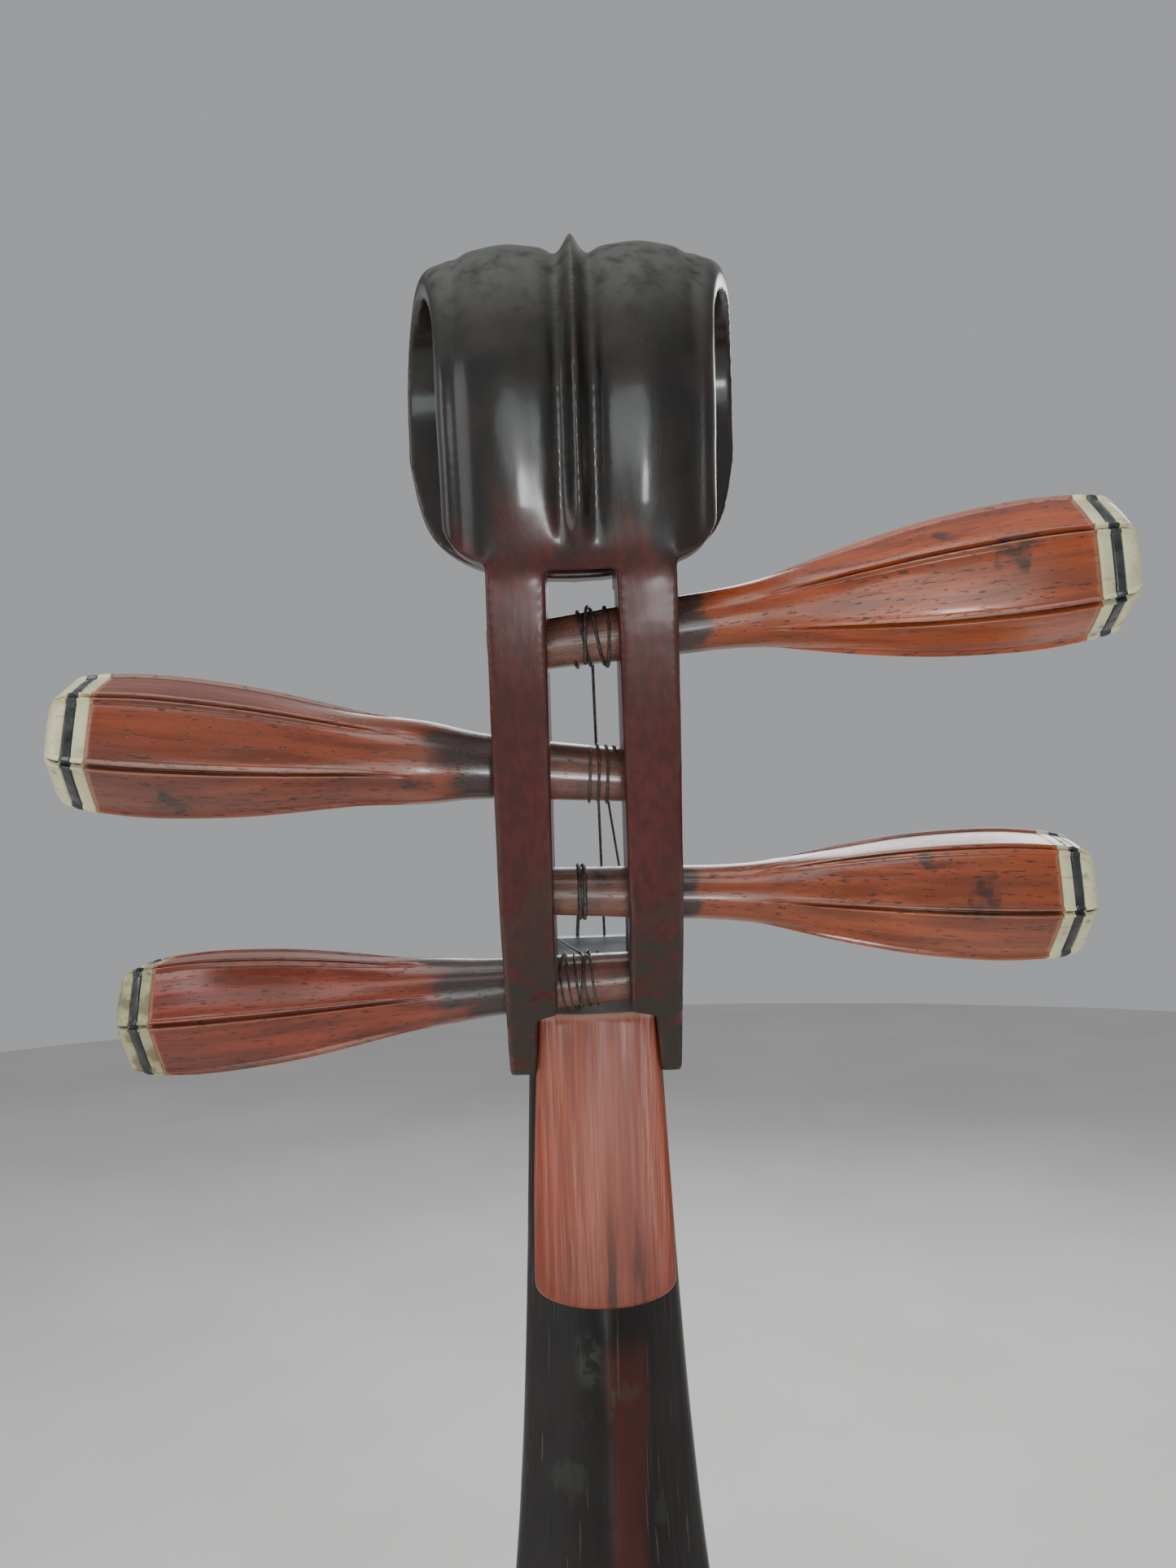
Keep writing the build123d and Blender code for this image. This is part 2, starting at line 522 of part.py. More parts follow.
def make_inside(cavity):
    """Sound beams under the soundboard and the posts that stand on the back."""
    pieces = {}
    for name, z in (("sound_beam_lower", BEAM_LOWER_Z), ("sound_beam_upper", BEAM_UPPER_Z)):
        bar = box(-150, 150, SEAM_Y, SEAM_Y + BEAM_DEPTH, z - BEAM_WIDE / 2, z + BEAM_WIDE / 2)
        pieces[name] = bar & cavity
    posts = ((0, BEAM_LOWER_Z, SEAM_Y + BEAM_DEPTH), (0, BEAM_UPPER_Z, SEAM_Y + BEAM_DEPTH),
             (-30, BRIDGE_Z + 12, SEAM_Y))
    for i, (x, z, y) in enumerate(posts, 1):
        post = Pos(x, y + 30, z) * Rot(90, 0, 0) * Cylinder(POST_RADIUS, 60)
        pieces[f"sound_post_{i}"] = post & cavity
    return pieces


def build():
    """Every piece by name."""
    shell, board, cavity = make_body()
    block = make_block()
    pieces = {"back_and_neck": shell - block_blank(60), "soundboard": board, "heel_block": block,
              "pegbox_head": make_pegbox_head(), "nut": make_nut(), "bridge": make_bridge()}
    pieces.update(make_inside(cavity))
    for i, steps in enumerate(SCALE_STEPS_XIANG, 1):
        pieces[f"xiang_{i}"] = make_xiang(steps)
    for i, steps in enumerate(SCALE_STEPS_FRET, 1):
        pieces[f"fret_{i}"] = make_fret(steps)
    for n in PEG_POINTS:
        for name, piece in make_peg(n).items():
            pieces[f"{name}_{n}"] = piece
        pieces[f"winding_{n}"] = make_winding(n)
        pieces[f"string_{n}"] = make_string(n)
    return pieces


os.makedirs("parts", exist_ok=True)
for node, shape in build().items():
    export_step(shape, f"parts/{node}.step")
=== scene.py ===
import json
from math import asin, atan2, cos, hypot, pi, radians, sin, sqrt

import bmesh
import bpy
import numpy as np
from mathutils import Matrix, Vector


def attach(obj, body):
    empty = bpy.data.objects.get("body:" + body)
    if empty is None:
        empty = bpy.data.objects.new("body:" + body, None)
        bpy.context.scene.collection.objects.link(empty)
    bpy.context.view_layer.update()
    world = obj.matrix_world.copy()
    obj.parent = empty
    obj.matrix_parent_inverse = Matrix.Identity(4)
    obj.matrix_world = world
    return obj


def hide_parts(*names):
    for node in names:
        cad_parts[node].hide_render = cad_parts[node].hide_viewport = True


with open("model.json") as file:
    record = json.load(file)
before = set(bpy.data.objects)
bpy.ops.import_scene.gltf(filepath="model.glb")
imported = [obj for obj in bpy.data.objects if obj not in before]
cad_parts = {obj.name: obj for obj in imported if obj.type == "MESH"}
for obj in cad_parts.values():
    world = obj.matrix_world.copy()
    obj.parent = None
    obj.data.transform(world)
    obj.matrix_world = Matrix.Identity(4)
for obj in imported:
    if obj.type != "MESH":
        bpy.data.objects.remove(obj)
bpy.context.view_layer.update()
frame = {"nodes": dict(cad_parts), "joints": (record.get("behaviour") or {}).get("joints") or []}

# A pipa seen from behind its head. Lengths are written in millimetres and turned into metres by MM.
MM = 0.001

# ---- body and neck: height, half width, crown of the back, power of the arch ----
STATIONS = [
    (-12, 134, 3, 2.2), (8, 134, 13, 2.2), (32, 134, 20, 2.2), (68, 134, 26.5, 2.2),
    (118, 134, 31, 2.2), (175, 129.5, 32.5, 2.2), (245, 109, 31.5, 2.2), (325, 83, 28.5, 2.1),
    (400, 60.5, 25, 2.0), (475, 42.5, 21.5, 1.9), (545, 31, 19, 1.8), (612, 23.2, 17.8, 1.7),
    (645, 20.3, 17.6, 1.6), (680, 18.2, 17.8, 1.6), (734, 15.8, 18, 1.6),
]
ARCH_REACH = 1.04                 # the arch is drawn this much wider than the outline
RIM_Y, SEAM_Y, FRONT_Y = 2.0, -3.0, -8.0
BOARD_TOP_Z, NECK_TOP_Z = 556.0, 734.0
OUTLINE_FROM_HALF = 25.0          # outline points nearer the middle are left out, except the lowest
TAIL_LEVELS = [0.0, 0.25, 0.7, 1.3, 2.1, 3.2, 4.6, 6.3]       # close together where the corners turn
BACK_EDGE, FRONT_EDGE, BOARD_EDGE = 1.3, 0.6, 0.9             # roundings of rim, front and soundboard
BACK_STEPS = 44

# ---- end of the neck between the cheeks: its side as (y, z), and how its top falls away sideways ----
TENON_LOW_Z, TENON_TOP_Z, TENON_HALF = 733.0, 757.0, 8.1
TENON_SIDE = [
    (FRONT_Y, TENON_LOW_Z), (FRONT_Y, TENON_TOP_Z), (-2, TENON_TOP_Z), (3, 753.4), (8, 752.2),
    (11.5, 750.6), (11.5, TENON_LOW_Z),
]
TENON_ARCH, TENON_ROUND = 2.4, 0.8

# ---- heel block ----
BLOCK_X, BLOCK_BACK_Y, BLOCK_LOW_Y = -0.6, 18.6, 3.0
BLOCK_TOP_Z, BLOCK_BOTTOM_Z, BLOCK_TOP_HALF, BLOCK_BOTTOM_HALF = 748.8, 680.5, 13.2, 16.2
BLOCK_DOME, BLOCK_BELLY, BLOCK_ROUND = 2.0, 0.5, 7.0          # of its top, sides and lower end
BLOCK_CROWN, BLOCK_CROWN_REACH = 3.6, 24.0                    # the back face falls this much this far out
BLOCK_SEAT_Y, BLOCK_SLOPE_Z, BLOCK_SLOPE = 11.5, 750.5, 0.33  # where the sloped top starts, and its fall
BLOCK_EDGE = 1.1

# ---- head: the curl's middle, and its relief as (height, distance from the middle, width) ----
CURL_Y, CURL_Z = 57.3, 877.2
RIDGE, GROOVE, LOBE, RIM_GROOVE = (1.5, 0.0, 1.35), (-1.1, 3.1, 1.5), (0.5, 12.0, 4.2), (-0.5, 21.6, 1.3)
BOW = 1.0                         # how far the plate swells outwards
CURL_SHIFT, CURL_NARROWING = 1.2, 0.053
CARVE_VOXEL = 0.55

# ---- pegs ----
PEG_NUMBERS = (1, 2, 3, 4)
PEGBOX_LOW_Z, PEGBOX_HIGH_Z, PEGBOX_HALF_LOW, PEGBOX_HALF_HIGH = 734.0, 870.0, 19.6, 17.2
SHAFT_NEAR = {1: 5.6, 2: 6.3, 3: 5.7, 4: 6.4}
SHAFT_FAR = {1: 4.6, 2: 5.0, 3: 4.8, 4: 5.0}
FACET_TURN = {1: 14.7, 2: 4.8, 3: 40.2, 4: 39.9}
KNOB = [                          # distance from the cheek, share of the full swelling
    (0, 0.0), (8, 0.02), (16, 0.10), (24, 0.27), (34, 0.50), (48, 0.80), (60, 0.95), (70, 1.0), (80.3, 0.93),
]
KNOB_RADIUS = 14.3
KNOB_END, WHITE_END, BLACK_END, CAP_END = 78.4, 81.1, 83.2, 88.6
NECK_SWELL = {1: 0.0, 2: 1.7, 3: 0.0, 4: 0.8}         # extra thickness of the neck beside the cheek
NECK_SWELL_AT, NECK_SWELL_WIDTH = 15.0, 10.0
FACET_ANGLES = [                  # degrees from a corner of the knob, close together over its beads
    -7.2, -6.2, -5.4, -4.6, -3.9, -3.2, -2.5, -1.7, -0.8, 0.0, 0.8, 1.7, 2.5, 3.2, 3.9, 4.6, 5.4, 6.2, 7.2,
    11, 16, 22, 30, 38, 44, 49,
]
# relief at each corner of the knob: height, degrees from the corner, width in degrees
BEAD, CORNER_GROOVE, BEAD_FOOT = (0.55, 3.3, 1.4), (-1.0, 0.0, 1.4), (-0.1, 6.2, 1.1)
# shares of the knob's radius: middle of a flat, its rise towards the corners, and a round section
FLAT_MIDDLE, FLAT_RISE, ROUND_SHARE = 0.885, 0.86, 0.95
PEG_COLOUR = {
    1: (0.4, 0.072, 0.014), 2: (0.26, 0.052, 0.019), 3: (0.36, 0.072, 0.02), 4: (0.28, 0.042, 0.014),
}
STAIN_REACH = {1: 15, 2: 27, 3: 7, 4: 34}             # how far the black stain runs up the knob
GRIMY_PEG, GRIMY_SHARE = 4, 0.14
CLEAN_BONE, OLD_BONE, BONE_GRIME = (0.66, 0.61, 0.38), (0.4, 0.37, 0.2), (0.14, 0.11, 0.05)

# ---- strings ----
STRING_RADIUS = {1: 0.32, 2: 0.28, 3: 0.45, 4: 0.25}
STRING_NUT_X = {1: -3.4, 2: -10.0, 3: 3.4, 4: 10.0}
STRING_BRIDGE_X = {1: -11.0, 2: -33.0, 3: 11.0, 4: 33.0}
WINDING_X = {1: -1.7, 2: -2.8, 3: 2.0, 4: 2.8}         # middle of the turns on each shaft
WINDING_HALF = {1: 3.8, 2: 2.6, 3: 0.9, 4: 4.2}
TURNS = {1: 4, 2: 3, 3: 2, 4: 6}
CROSS_BACK = {1: 0.3, 2: 0.0, 3: 0.0, 4: 0.2}         # share of the turns that run back over the others
NUT_TOP_Y, NUT_TOP_Z, BRIDGE_Z, STRING_BRIDGE_Y = -19.5, 761.0, 84.0, -22.0
TURN_STEPS = 40
XIANG_COUNT, FRET_COUNT = 4, 12

# ---- studio ----
FLOOR_RADIUS, FLOOR_SIDES = 4000.0, 48
LIT_HEAD, LIT_BODY = (0, 30, 800), (0, 0, 500)        # what the lamps point at
CAMERA_PLACE, CAMERA_LENS = (1.567, 325.197, 807.003), 31.33
CAMERA_YAW, CAMERA_PITCH, CAMERA_ROLL = -0.348, 1.297, -1.916


# ------------------------------------------------------------------ small tools
def smooth(low, high, x):
    """Smooth step from 0 at low to 1 at high, for a number or an array."""
    t = np.clip((x - low) / (high - low), 0, 1)
    return t * t * (3 - 2 * t)


def hump(x, height, at, width):
    """Rounded hump centred at the place given, for a number or an array."""
    return height * np.exp(-((x - at) / width) ** 2)


def through(points, x, column=1):
    """Smooth curve through the given column of points, read at x."""
    xs = [p[0] for p in points]
    ys = [p[column] for p in points]
    i = min(max(sum(1 for v in xs if v <= x) - 1, 0), len(xs) - 2)

    def slope(k):
        a, b = max(k - 1, 0), min(k + 1, len(xs) - 1)
        return (ys[b] - ys[a]) / (xs[b] - xs[a])

    h = xs[i + 1] - xs[i]
    t = min(1.0, max(0.0, (x - xs[i]) / h))
    return ((2 * t**3 - 3 * t**2 + 1) * ys[i] + (t**3 - 2 * t**2 + t) * h * slope(i)
            + (3 * t**2 - 2 * t**3) * ys[i + 1] + (t**3 - t**2) * h * slope(i + 1))


def heights(low, high, count):
    return [low + (high - low) * i / count for i in range(count + 1)]


def mirrored(points):
    """The same points on the other side, in reverse order."""
    return [(-x, y, z) for x, y, z in reversed(points)]


def link(name, data, matrix=None):
    """New object in the scene."""
    obj = bpy.data.objects.new(name, data)
    bpy.context.scene.collection.objects.link(obj)
    if matrix is not None:
        obj.matrix_world = matrix
    return obj


def shade_smooth(mesh):
    mesh.polygons.foreach_set("use_smooth", [True] * len(mesh.polygons))


def finish_piece(obj, material, body, nodes=()):
    """Gives a piece its material, its body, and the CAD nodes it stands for."""
    obj.data.materials.clear()
    obj.data.materials.append(material)
    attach(obj, body)
    if nodes:
        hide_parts(*nodes)


def new_mesh(name, points, faces, matrix=None):
    """Mesh object from points in millimetres."""
    mesh = bpy.data.meshes.new(name)
    mesh.from_pydata([Vector(p) * MM for p in points], [], faces)
    mesh.update()
    shade_smooth(mesh)
    return link(name, mesh, matrix)


def skin(name, rings, matrix=None):
    """Closed rings joined in order, with the first and last filled."""
    n = len(rings[0])
    points = [p for ring in rings for p in ring]
    faces = []
    for i in range(len(rings) - 1):
        for j in range(n):
            a, b = i * n + j, i * n + (j + 1) % n
            faces.append((a, b, b + n, a + n))
    faces.append(tuple(reversed(range(n))))
    faces.append(tuple(range((len(rings) - 1) * n, len(rings) * n)))
    obj = new_mesh(name, points, faces, matrix)
    work = bmesh.new()
    work.from_mesh(obj.data)
    bmesh.ops.recalc_face_normals(work, faces=work.faces)
    work.to_mesh(obj.data)
    work.free()
    return obj


def wire(name, points, radius, matrix=None):
    """Round wire through points in millimetres."""
    curve = bpy.data.curves.new(name, "CURVE")
    curve.dimensions = "3D"
    curve.bevel_depth = radius * MM
    curve.bevel_resolution = 3
    curve.use_fill_caps = True
    line = curve.splines.new("POLY")
    line.points.add(len(points) - 1)
    for point, p in zip(line.points, points):
        point.co = (*(Vector(p) * MM), 1)
    return link(name, curve, matrix)


def softened(node, name, width, material):
    """New piece over a CAD node with every sharp edge rounded."""
    work = bmesh.new()
    work.from_mesh(frame["nodes"][node].data)
    bmesh.ops.remove_doubles(work, verts=work.verts, dist=1e-5)
    bmesh.ops.dissolve_limit(work, angle_limit=radians(2), verts=work.verts, edges=work.edges)
    sharp = [e for e in work.edges if e.is_manifold and e.calc_face_angle(0) > radians(25)]
    bmesh.ops.bevel(work, geom=sharp, offset=width * MM, segments=3, profile=0.5, affect="EDGES",
                    clamp_overlap=True)
    bmesh.ops.recalc_face_normals(work, faces=work.faces)
    mesh = bpy.data.meshes.new(name)
    work.to_mesh(mesh)
    work.free()
    shade_smooth(mesh)
    piece = link(name, mesh)
    lean = piece.modifiers.new("weighted", "WEIGHTED_NORMAL")
    lean.keep_sharp = True
    finish_piece(piece, material, "instrument", [node])


def read_vectors(mesh, what):
    """Vertex coordinates ("co") or normals ("normal") as an array of rows."""
    values = np.empty(len(mesh.vertices) * 3, np.float32)
    mesh.vertices.foreach_get(what, values)
    return values.reshape(-1, 3)


def edge_ends(mesh):
    """First and second vertex of every edge."""
    pairs = np.empty(len(mesh.edges) * 2, np.int32)
    mesh.edges.foreach_get("vertices", pairs)
    return pairs.reshape(-1, 2).T


def averager(mesh):
    """Function that gives, for each vertex, the mean of a value over its neighbours."""
    a, b = edge_ends(mesh)
    count = len(mesh.vertices)
    degree = np.bincount(a, minlength=count) + np.bincount(b, minlength=count)

    def around(values):
        columns = values.reshape(count, -1)
        sums = [np.bincount(a, c[b], count) + np.bincount(b, c[a], count) for c in columns.T]
        return (np.array(sums).T / degree[:, None]).reshape(values.shape)

    return around


def mark_edges(obj, passes=3):
    """Float attribute 'edge': 1 on worn outer edges, 0.5 on flats, below 0.5 in hollows."""
    mesh = obj.data
    co, normal = read_vectors(mesh, "co"), read_vectors(mesh, "normal")
    around = averager(mesh)
    a, b = edge_ends(mesh)
    length = np.linalg.norm(co[a] - co[b], axis=1).mean()
    bend = ((co - around(co)) * normal).sum(axis=1) / length
    for _ in range(passes):
        bend = 0.5 * bend + 0.5 * around(bend)
    attribute = mesh.attributes.new("edge", "FLOAT", "POINT")
    attribute.data.foreach_set("value", np.clip(0.5 + 3.0 * bend, 0, 1).astype(np.float32))


# ------------------------------------------------------------------ materials
class Finish:
    """Procedural material built up step by step over object coordinates."""

    def __init__(self, name, roughness=0.5, coat=0.0, coat_roughness=0.1, specular=0.5):
        self.material = bpy.data.materials.new(name)
        self.material.use_nodes = True
        self.tree = self.material.node_tree
        self.shader = self.tree.nodes["Principled BSDF"]
        self.shader.inputs["Roughness"].default_value = roughness
        self.shader.inputs["Coat Weight"].default_value = coat
        self.shader.inputs["Coat Roughness"].default_value = coat_roughness
        self.shader.inputs["Specular IOR Level"].default_value = specular
        self.where = self.tree.nodes.new("ShaderNodeTexCoord").outputs["Object"]
        self.normal = None

    def put(self, socket, value):
        """Links a socket to another, or sets its value."""
        if isinstance(value, bpy.types.NodeSocket):
            self.tree.links.new(value, socket)
        elif isinstance(value, tuple) and len(value) == 3 and socket.type == "RGBA":
            socket.default_value = (*value, 1)
        else:
            socket.default_value = value

    def noise(self, scale, stretch=(1, 1, 1), detail=4.0, low=0.35, high=0.65):
        """Noise of scale features per metre, stretched, between 0 and 1."""
        fit = self.tree.nodes.new("ShaderNodeMapping")
        self.put(fit.inputs["Vector"], self.where)
        fit.inputs["Scale"].default_value = stretch
        node = self.tree.nodes.new("ShaderNodeTexNoise")
        self.put(node.inputs["Vector"], fit.outputs["Vector"])
        node.inputs["Scale"].default_value = scale
        node.inputs["Detail"].default_value = detail
        return self.between(node.outputs["Fac"], low, high)

    def between(self, value, low, high, to_low=0.0, to_high=1.0):
        """Smooth change from to_low at low to to_high at high."""
        node = self.tree.nodes.new("ShaderNodeMapRange")
        node.interpolation_type = "SMOOTHSTEP"
        self.put(node.inputs["Value"], value)
        node.inputs["From Min"].default_value = low
        node.inputs["From Max"].default_value = high
        node.inputs["To Min"].default_value = to_low
        node.inputs["To Max"].default_value = to_high
        return node.outputs["Result"]

    def between_mm(self, value, low, high, to_low=0.0, to_high=1.0):
        """between() with low and high in millimetres."""
        return self.between(value, low * MM, high * MM, to_low, to_high)

    def axis(self, letter, source=None):
        node = self.tree.nodes.new("ShaderNodeSeparateXYZ")
        self.put(node.inputs[0], source or self.where)
        return node.outputs[letter]

    def facing(self, letter):
        return self.axis(letter, self.tree.nodes.new("ShaderNodeNewGeometry").outputs["Normal"])

    def attribute(self, name):
        node = self.tree.nodes.new("ShaderNodeAttribute")
        node.attribute_name = name
        return node.outputs["Fac"]

    def maths(self, operation, a, b=0.0):
        node = self.tree.nodes.new("ShaderNodeMath")
        node.operation = operation
        self.put(node.inputs[0], a)
        self.put(node.inputs[1], b)
        return node.outputs[0]

    def larger(self, a, b):
        """The larger of two values."""
        return self.maths("MAXIMUM", a, b)

    def wavering(self, letter, noise, reach):
        """Coordinate pushed up to half of reach millimetres either way by the noise."""
        push = self.maths("MULTIPLY", self.maths("SUBTRACT", noise, 0.5), reach * MM)
        return self.maths("ADD", self.axis(letter), push)

    def away_from(self, value, place):
        """Distance from a place in millimetres."""
        return self.maths("ABSOLUTE", self.maths("SUBTRACT", value, place * MM))

    def times(self, a, *others):
        for b in others:
            a = self.maths("MULTIPLY", a, b)
        return a

    def blend(self, factor, a, b):
        node = self.tree.nodes.new("ShaderNodeMix")
        node.data_type = "RGBA"
        self.put(node.inputs["Factor"], factor)
        self.put(node.inputs[6], a)
        self.put(node.inputs[7], b)
        return node.outputs[2]

    def colour(self, value):
        self.put(self.shader.inputs["Base Color"], value)

    def rough(self, value):
        self.put(self.shader.inputs["Roughness"], value)

    def coat(self, value):
        self.put(self.shader.inputs["Coat Weight"], value)

    def bump(self, height, depth, strength=1.0):
        """Relief of depth millimetres over what is there already."""
        node = self.tree.nodes.new("ShaderNodeBump")
        node.inputs["Strength"].default_value = strength
        node.inputs["Distance"].default_value = depth * MM
        self.put(node.inputs["Height"], height)
        if self.normal is not None:
            self.put(node.inputs["Normal"], self.normal)
        self.normal = node.outputs["Normal"]
        self.put(self.shader.inputs["Normal"], self.normal)


def shade(colour, share):
    return tuple(share * c for c in colour)


def peg_wood(n, stain_from):
    """Orange-red hardwood with dark pores and streaks, stained black towards the neck, with painted shade in
    its hollows.
    """
    f = Finish(f"peg_wood_{n}", 0.3, coat=0.35, coat_roughness=0.16)
    light = PEG_COLOUR[n]
    dark = shade(light, 0.55)
    streaks = f.noise(420, (1, 1, 0.05), detail=6)
    wood = f.blend(streaks, dark, light)
    broad = f.noise(90, (1, 1, 0.3), low=0.3, high=0.7)
    wood = f.blend(f.times(broad, 0.45), wood, shade(dark, 0.55))
    pores = f.noise(2300, (1, 1, 0.16), detail=2, low=0.62, high=0.7)
    wood = f.blend(f.times(pores, 0.8), wood, (0.012, 0.006, 0.004))
    patches = f.times(f.noise(70, detail=6, low=0.6, high=0.66), f.noise(300, low=0.35, high=0.6))
    z = f.axis("Z")
    neck = f.between_mm(z, stain_from, stain_from + STAIN_REACH[n], 1.0, 0.0)
    ragged = f.maths("ADD", neck, f.maths("MULTIPLY", f.noise(160, (1, 1, 0.35), low=0.3, high=0.7), 0.6))
    stain = f.times(f.between(ragged, 0.7, 1.1), f.between_mm(z, stain_from - 6, stain_from))
    shaft = f.between_mm(z, stain_from, stain_from - 4)
    dusty = f.blend(f.noise(260, detail=6), (0.2, 0.085, 0.062), (0.11, 0.06, 0.048))
    wood = f.blend(f.times(shaft, 0.85), wood, dusty)
    wood = f.blend(f.times(patches, 0.75), wood, (0.014, 0.011, 0.009))
    # painted shade: the hollows beside the beads are darkened to near black
    hollow = f.between(f.attribute("edge"), 0.45, 0.25)
    wood = f.blend(f.times(hollow, 0.92), wood, (0.01, 0.006, 0.005))
    worn = f.between(f.attribute("edge"), 0.58, 0.8)
    wood = f.blend(f.times(worn, 0.4), wood, (0.5, 0.24, 0.14))
    f.colour(f.blend(f.times(stain, 0.88), wood, (0.022, 0.02, 0.019)))
    f.rough(f.between(f.maths("ADD", broad, pores), 0, 1.6, 0.26, 0.5))
    f.bump(streaks, 0.05)
    f.bump(f.maths("SUBTRACT", 1.0, pores), 0.12)
    return f.material


def bone(name, clean, share):
    """Cream bone with fine lines and brown mottling, more of it as share grows, and painted shade in its
    hollows.
    """
    f = Finish(name, 0.35, coat=0.2)
    base = f.blend(f.noise(130, detail=5), clean, shade(clean, 0.8))
    lines = f.noise(900, (1, 1, 0.08), detail=2, low=0.6, high=0.72)
    base = f.blend(f.times(lines, 0.4), base, (0.16, 0.12, 0.06))
    grime = f.noise(260, detail=6, low=0.62 - share, high=0.78 - share)
    base = f.blend(f.times(grime, 0.75), base, BONE_GRIME)
    # painted shade: the hollows are darkened to near black
    hollow = f.between(f.attribute("edge"), 0.46, 0.32)
    f.colour(f.blend(hollow, base, (0.02, 0.018, 0.014)))
    f.rough(f.between(grime, 0, 1, 0.32, 0.6))
    f.bump(grime, 0.04)
    return f.material


def dark_ring():
    """Blue-black inlay ring."""
    f = Finish("dark_ring", 0.3, coat=0.3)
    f.colour(f.blend(f.noise(300), (0.012, 0.014, 0.014), (0.035, 0.04, 0.042)))
    f.rough(f.noise(500, low=0.2, high=0.9))
    f.bump(f.noise(700), 0.03)
    return f.material


def head_lacquer():
    """Near-black gloss above, worn through to oxblood on the cheeks, grimy at the lower ends."""
    f = Finish("head_lacquer", 0.3, coat=0.3, coat_roughness=0.14, specular=0.4)
    z = f.axis("Z")
    black = f.blend(f.noise(110, detail=6), (0.0075, 0.0065, 0.0055), (0.018, 0.011, 0.009))
    grain = f.noise(700, (1, 1, 0.05), detail=5)
    blotch = f.noise(60, (1, 1, 0.5), detail=5)
    red = f.blend(grain, (0.055, 0.0045, 0.0038), (0.088, 0.0085, 0.0065))
    red = f.blend(f.times(blotch, 0.4), red, (0.034, 0.004, 0.0035))
    ragged = f.wavering("Z", f.noise(80, (1, 1, 0.5), detail=5), 14)
    base = f.blend(f.between_mm(ragged, 838, 853), red, black)
    grime = f.times(f.between_mm(ragged, 792, 750), f.noise(190, detail=6, low=0.3, high=0.55))
    base = f.blend(f.times(grime, 0.85), base, (0.03, 0.031, 0.024))
    worn = f.between(f.attribute("edge"), 0.57, 0.72)
    worn = f.times(worn, f.noise(150, (1, 1, 0.2), detail=4, low=0.35, high=0.6))
    base = f.blend(f.times(worn, 0.3), base, (0.1, 0.06, 0.048))
    top = f.times(f.between(f.facing("Z"), -0.1, 0.7), f.between_mm(z, 872, 900))
    top_dust = f.times(top, f.noise(330, detail=8, low=0.18, high=0.62))
    hollow = f.between(f.attribute("edge"), 0.47, 0.36)
    hollow_dust = f.times(hollow, f.noise(160, (1, 1, 0.2), detail=3, low=0.25, high=0.75), 0.3)
    dust = f.larger(top_dust, hollow_dust)
    base = f.blend(f.times(dust, 0.72), base, (0.085, 0.092, 0.08))
    specks = f.noise(3200, detail=2, low=0.7, high=0.76)
    base = f.blend(f.times(specks, 0.5), base, (0.14, 0.13, 0.11))
    f.colour(base)
    smear = f.noise(40, (1, 1, 0.5), detail=6, low=0.3, high=0.7)
    film = f.times(f.between(f.facing("Z"), -0.3, 0.3), f.between_mm(z, 862, 884), 0.8)
    matte = f.larger(f.larger(dust, f.times(grime, 0.9)), f.times(smear, 0.3))
    matte = f.larger(matte, film)
    f.rough(f.between(matte, 0, 1, 0.32, 0.8))
    f.coat(f.times(f.between(matte, 0, 0.6, 0.5, 0.0), f.between_mm(z, 830, 860, 0.25, 1.0)))
    f.bump(f.noise(45, detail=2), 0.3, 0.5)
    f.bump(grain, 0.012)
    f.bump(dust, 0.02)
    return f.material


def block_wood():
    """Satin red-orange hardwood with upright grain and a few dark streaks, and a painted highlight along its
    top edge.
    """
    f = Finish("block_wood", 0.42, coat=0.12, coat_roughness=0.25)
    z = f.axis("Z")
    grain = f.noise(900, (1, 1, 0.04), detail=6)
    bands = f.noise(170, (1, 1, 0.07), detail=4)
    wood = f.blend(grain, (0.24, 0.042, 0.019), (0.36, 0.075, 0.034))
    wood = f.blend(f.times(bands, 0.4), wood, (0.17, 0.028, 0.014))
    low = f.between_mm(z, 712, 683)
    streak = f.times(f.noise(260, (1, 1, 0.09), detail=5, low=0.52, high=0.62), low)
    wood = f.blend(f.times(streak, 0.9), wood, (0.02, 0.008, 0.006))
    wood = f.blend(f.times(low, 0.4), wood, (0.09, 0.018, 0.009))
    end = f.times(f.between(f.facing("Z"), 0.3, 0.75), f.between_mm(z, 744, 746.5))
    dust = f.times(end, f.noise(420, detail=6, low=0.1, high=0.5))
    wood = f.blend(f.times(dust, 0.9), wood, (0.3, 0.3, 0.28))
    worn = f.times(f.between(f.attribute("edge"), 0.56, 0.7), f.noise(300, low=0.3, high=0.6))
    wood = f.blend(f.times(worn, 0.5), wood, (0.38, 0.11, 0.06))
    # painted highlight: a pale band on the rounded top edge, just below the top, stands in for the lamp's
    # reflection there
    lip_highlight = f.times(f.between_mm(z, 746.2, 747.6), f.between(f.facing("Z"), 0.9, 0.4))
    wood = f.blend(f.times(lip_highlight, 0.6), wood, (0.6, 0.34, 0.26))
    f.colour(wood)
    f.rough(f.between(f.larger(dust, f.times(bands, 0.5)), 0, 1, 0.36, 0.85))
    f.bump(grain, 0.06)
    f.bump(bands, 0.08)
    return f.material


